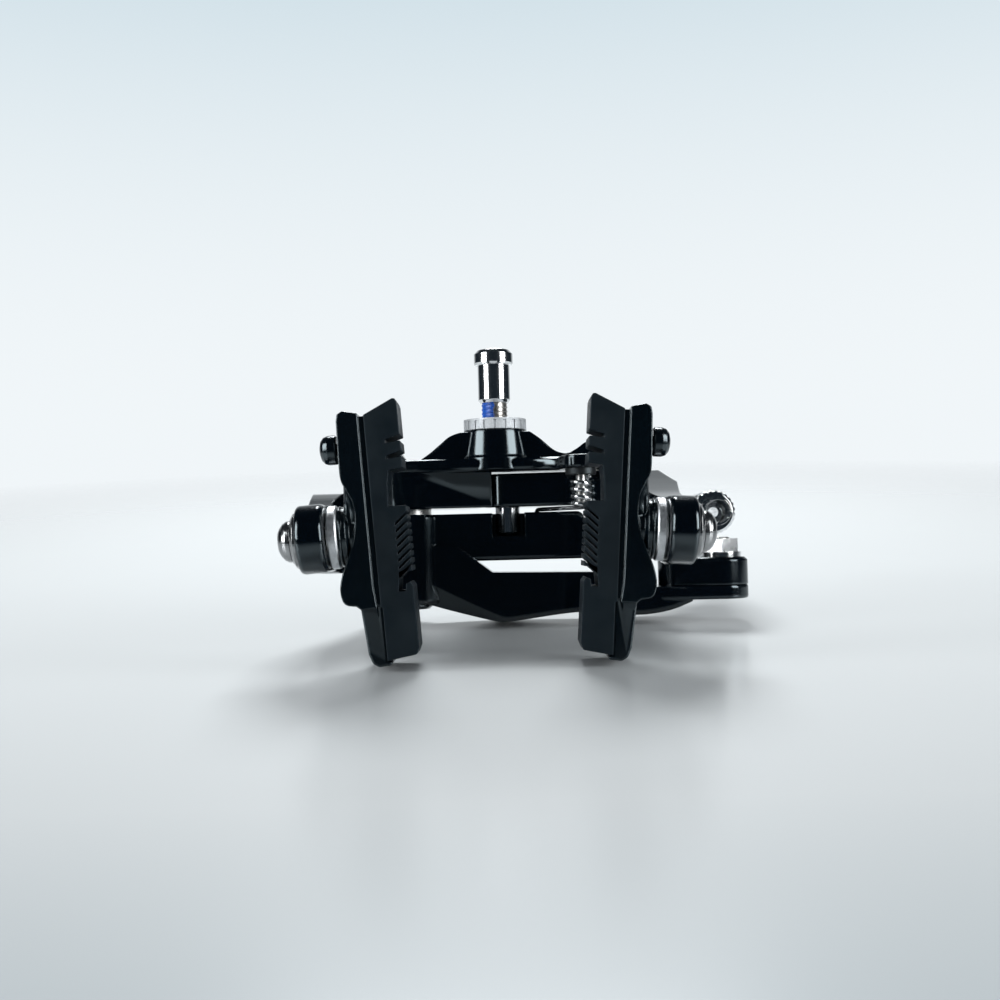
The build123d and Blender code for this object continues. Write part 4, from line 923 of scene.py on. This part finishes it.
def make_pad_screw(side_name, side):
    """Retaining screw with a domed head, at the CAD screw's depth."""
    place = pad_place(side)
    depths = [vertex.co.y / MM for vertex in nodes[f"{side_name}_pad_screw"].data.vertices]
    middle = (min(depths) + max(depths)) / 2 - PAD_Y
    profile = [
        (0, -9.4), (1.3, -9.4), (1.3, -6.9), (2.7, -6.9), (3.1, -6.5), (3.1, -5.0), (2.8, -4.1),
        (2.1, -3.5), (1.1, -3.2), (0, -3.1),
    ]
    return lathe(
        f"{side_name}_screw_shape", profile,
        lambda a, b, height: place(height, SCREW_W + a, middle + b), HOLDER_BLACK,
    )


PIVOT_SHOULDER_R = 4.0
PIVOT_THREAD_R = 3.0
PIVOT_THREAD_L = 7.0
PIVOT_HEAD_R = 6.3
PIVOT_HEAD_T = 1.3
PIVOT_SOCKET_R = 2.9


def make_left_pivot_bolt():
    """Left pivot bolt with a head low enough to stay behind the front beam."""
    head_top = C_HUB_LOW - 0.05
    head_low = head_top - PIVOT_HEAD_T
    thread_top = Y_LOW + PIVOT_THREAD_L
    profile = [
        (0, head_low), (PIVOT_HEAD_R - 0.7, head_low), (PIVOT_HEAD_R, head_low + 0.6),
        (PIVOT_HEAD_R, head_top), (PIVOT_SHOULDER_R, head_top), (PIVOT_SHOULDER_R, Y_LOW),
        (PIVOT_THREAD_R, Y_LOW), (PIVOT_THREAD_R, thread_top), (0, thread_top),
    ]
    bolt = lathe("left_pivot_bolt_shape", profile, about_z(LEFT_PIVOT_X), ARM_BLACK)
    outline = hexagon(LEFT_PIVOT_X, PIVOT_SOCKET_R)
    return cut(bolt, prism("socket", outline, upright, head_top - 4.0, head_top + 2.0, ARM_BLACK))


for side_name, side in SIDES:
    seat_ring, seat_dish = make_seats(side_name, side)
    bolt_washer, bolt_shape = make_pad_bolt(side_name, side)
    for made, body, node, slot in (
        (make_holder(side_name, side), "pad", "pad_holder", "holder_black"),
        (make_rubber(side_name, side), "pad", "pad_rubber", "pad_rubber"),
        (make_pad_screw(side_name, side), "pad", "pad_screw", "holder_black"),
        (seat_ring, "pad_mount", "ball_washer", "pale_alloy"),
        (seat_dish, "pad_mount", "cup_washer", "holder_black"),
        (bolt_washer, "pad_mount", "outer_washer", "plain_steel"),
        (bolt_shape, "pad_mount", "pad_bolt", "plain_steel"),
    ):
        stand_in(made, f"{side_name}_{body}", f"{side_name}_{node}", slot)

for make, body, node in (
    (make_bracket, "root", "bracket"),
    (make_c_arm, "c_arm", "c_arm"),
    (make_y_arm, "y_arm", "y_arm"),
    (make_left_pivot_bolt, "root", "left_pivot_bolt"),
):
    made = make()
    made.name = f"{node}_shape"
    stand_in(made, body, node, "arm_black")


# Threads: a helical ridge on the bare stretch of a threaded shank
TURN_STEPS = 28
FADE_STEPS = 10
CREST_RISE = 0.16
ROOT_SINK = 0.20
ROOT_SHIFT = 0.42
CREST_SHIFT = 0.08


def thread(name, axis_point, way, radius, length, pitch, look, body):
    """Helical ridge round an axis, from its point along the way given."""
    way = Vector(way)
    side_on = Vector((1, 0, 0)) if abs(way.x) < 0.5 else Vector((0, 0, 1))
    square_on = way.cross(side_on)
    steps = int(length / pitch * TURN_STEPS)
    verts = []
    faces = []
    for step in range(steps + 1):
        angle = 2 * math.pi * step / TURN_STEPS
        out = side_on * math.cos(angle) + square_on * math.sin(angle)
        along = length * step / steps
        fade = min(1.0, step / FADE_STEPS, (steps - step) / FADE_STEPS)
        crest = radius + CREST_RISE * pitch * fade
        root = radius - ROOT_SINK * pitch
        for shift, reach in (
            (-ROOT_SHIFT, root), (-CREST_SHIFT, crest), (CREST_SHIFT, crest), (ROOT_SHIFT, root),
        ):
            offset = min(max(along + shift * pitch, 0.0), length)
            verts.append(Vector(axis_point) + way * offset + out * reach)
    for step in range(steps):
        for corner in range(4):
            low = step * 4
            following = (corner + 1) % 4
            faces.append((low + corner, low + following, low + 4 + following, low + 4 + corner))
    mesh = bpy.data.meshes.new(name)
    mesh.from_pydata([spot[:] for spot in verts], [], faces)
    mesh.materials.append(look)
    for polygon in mesh.polygons:
        polygon.use_smooth = True
    piece = bpy.data.objects.new(name, mesh)
    scene.collection.objects.link(piece)
    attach(piece, body)


thread("bolt_thread", (0, 0, 0.05 * MM), (0, 0, 1), 3.0 * MM, 4.0 * MM, 1.0 * MM, BOLT, "root")
thread(
    "adjuster_thread", (CABLE_X * MM, 14.7 * MM, ADJUSTER_Z * MM), (0, 1, 0),
    2.95 * MM, 4.2 * MM, 0.8 * MM, BRIGHT, "adjuster_screw",
)


# Floor: the plane that carries the brake at its pads' lower ends and its front beam
def support_line():
    """Height and slope of the floor along Y: the lowest edge under the brake's middle."""
    spots = []
    for name, node in nodes.items():
        for vertex in STAND_INS.get(name, node).data.vertices:
            spots.append((vertex.co.y, vertex.co.z))
    spots.sort()
    hull = []
    for spot in spots:
        while len(hull) > 1:
            (ya, za), (yb, zb) = hull[-2], hull[-1]
            if (yb - ya) * (spot[1] - za) - (zb - za) * (spot[0] - ya) <= 0:
                hull.pop()
            else:
                break
        hull.append(spot)
    middle = sum(spot[0] for spot in spots) / len(spots)
    for (ya, za), (yb, zb) in zip(hull, hull[1:]):
        if ya <= middle <= yb:
            slope = (zb - za) / (yb - ya)
            return za - slope * ya, slope
    return hull[0][1], 0.0


floor_z, floor_slope = support_line()

# Stage: a pale floor that fades into the backdrop's tone, with the object's shadow on it
STAGE_PALE = (0.875, 0.92, 0.945)
# Backdrop tone away from the horizon, and where it sets in: painted shade
STAGE_OUTER_SHADE = (0.64, 0.75, 0.81)
STAGE_RISE = (0.10, 0.41)
ROOM_DARK = (0.012, 0.018, 0.024)
ROOM_FAR_WALL = (0.62, 1.0)
FILL_COLOUR = (0.90, 0.95, 1.0, 1.0)
FILL_STRENGTH = 0.20
FLOOR_SIDE = 3.0
FLOOR_GAP = 0.00005
FLOOR_FADE = (0.16, 0.60)
FLOOR_MIDDLE = (0.715, 0.745, 0.755)
# Darker floor tone towards the camera, and where it begins and ends: painted shade
FLOOR_FRONT_SHADE = (0.43, 0.505, 0.54)
FLOOR_FRONT_SHADE_Y = (-0.13, -0.27)
FLOOR_ROUGH = 0.24
FLOOR_SHINE = 0.50


def distance_from_middle(tree):
    """Distance of the shaded point from the object's middle, on the floor's own coordinates."""
    place = tree.nodes.new("ShaderNodeTexCoord")
    length = tree.nodes.new("ShaderNodeVectorMath")
    length.operation = "LENGTH"
    tree.links.new(place.outputs["Object"], length.inputs[0])
    return length.outputs["Value"]


def pick(tree, factor, first, second):
    """Shader that turns from the first to the second as the factor goes from 0 to 1."""
    made = tree.nodes.new("ShaderNodeMixShader")
    tree.links.new(factor, made.inputs["Fac"])
    tree.links.new(first, made.inputs[1])
    tree.links.new(second, made.inputs[2])
    return made.outputs["Shader"]


def make_floor():
    """Pale floor with painted shade that darkens it towards the camera; it turns see-through outwards, so
    no horizon shows.
    """
    mesh = bpy.data.meshes.new("floor")
    corners = []
    for x, y in ((-1, -1), (1, -1), (1, 1), (-1, 1)):
        height = floor_z + floor_slope * y * FLOOR_SIDE - FLOOR_GAP
        corners.append((x * FLOOR_SIDE, y * FLOOR_SIDE, height))
    mesh.from_pydata(corners, [], [(0, 1, 2, 3)])
    made = bpy.data.objects.new("floor", mesh)
    scene.collection.objects.link(made)
    look, tree, shader = new_material("floor_pale")
    # Painted shade: the floor's colour darkens towards the camera
    front_shade = ramp(tree, own_axes(tree, "Object")["Y"], *FLOOR_FRONT_SHADE_Y)
    tone = blend_colour(tree, front_shade, FLOOR_MIDDLE, FLOOR_FRONT_SHADE)
    tree.links.new(tone, shader.inputs["Base Color"])
    shader.inputs["Roughness"].default_value = FLOOR_ROUGH
    shader.inputs["Specular IOR Level"].default_value = FLOOR_SHINE
    clear = tree.nodes.new("ShaderNodeBsdfTransparent")
    faded = ramp(tree, distance_from_middle(tree), *FLOOR_FADE)
    surface = pick(tree, faded, shader.outputs["BSDF"], clear.outputs["BSDF"])
    output = next(node for node in tree.nodes if node.type == "OUTPUT_MATERIAL")
    tree.links.new(surface, output.inputs["Surface"])
    mesh.materials.append(look)


def make_world():
    """Pale backdrop for the camera with painted shade darkening it away from the horizon, a dark room
    with a pale far wall for gloss, an even soft light.
    """
    world = bpy.data.worlds.new("world")
    scene.world = world
    world.use_nodes = True
    tree = world.node_tree
    tree.nodes.clear()
    output = tree.nodes.new("ShaderNodeOutputWorld")
    axes = own_axes(tree, "Generated")
    # Painted shade: the backdrop's colour darkens away from the horizon, above and below
    height = tree.nodes.new("ShaderNodeMath")
    height.operation = "ABSOLUTE"
    tree.links.new(axes["Z"], height.inputs[0])
    curve = tree.nodes.new("ShaderNodeMath")
    curve.operation = "POWER"
    tree.links.new(ramp(tree, height.outputs["Value"], *STAGE_RISE), curve.inputs[0])
    curve.inputs[1].default_value = 2.0
    seen = tree.nodes.new("ShaderNodeBackground")
    pale = blend_colour(tree, curve.outputs["Value"], STAGE_PALE, STAGE_OUTER_SHADE)
    tree.links.new(pale, seen.inputs["Color"])
    gloss = tree.nodes.new("ShaderNodeBackground")
    room = blend_colour(tree, ramp(tree, axes["Y"], *ROOM_FAR_WALL), ROOM_DARK, STAGE_PALE)
    tree.links.new(room, gloss.inputs["Color"])
    fill = tree.nodes.new("ShaderNodeBackground")
    fill.inputs["Color"].default_value = FILL_COLOUR
    fill.inputs["Strength"].default_value = FILL_STRENGTH
    rays = tree.nodes.new("ShaderNodeLightPath").outputs
    around = pick(tree, rays["Is Glossy Ray"], fill.outputs["Background"], gloss.outputs["Background"])
    surface = pick(tree, rays["Is Camera Ray"], around, seen.outputs["Background"])
    tree.links.new(surface, output.inputs["Surface"])


LAMP_COLOUR = (0.97, 0.99, 1.0)
LAMPS_AIM = Vector((0.0, 0.0, -0.02))
BOX_POWER = 3.0


def lamp(name, at, size, power, lights=True, shines=True):
    """Soft area light aimed at the brake; it lights surfaces, shows in gloss, or both."""
    data = bpy.data.lights.new(name, "AREA")
    data.shape = "RECTANGLE"
    data.size, data.size_y = size
    data.energy = power
    data.color = LAMP_COLOUR
    made = bpy.data.objects.new(name, data)
    way = LAMPS_AIM - Vector(at)
    made.matrix_world = Matrix.Translation(at) @ way.to_track_quat("-Z", "Y").to_matrix().to_4x4()
    made.visible_camera = False
    made.visible_diffuse = lights
    made.visible_glossy = shines
    scene.collection.objects.link(made)


make_floor()
make_world()
lamp("overhead", (0.0, 0.32, 0.48), (0.28, 0.16), 3.75)
for side_name, side, power in (("left", -1, 0.85), ("right", 1, 0.8)):
    lamp(f"{side_name}_fill", (side * 0.40, -0.12, 0.08), (0.16, 0.16), power, shines=False)
for side_name, side in SIDES:
    lamp(f"{side_name}_box", (side * 0.42, -0.27, 0.16), (0.26, 0.40), BOX_POWER, lights=False)

scene.view_settings.view_transform = "Standard"
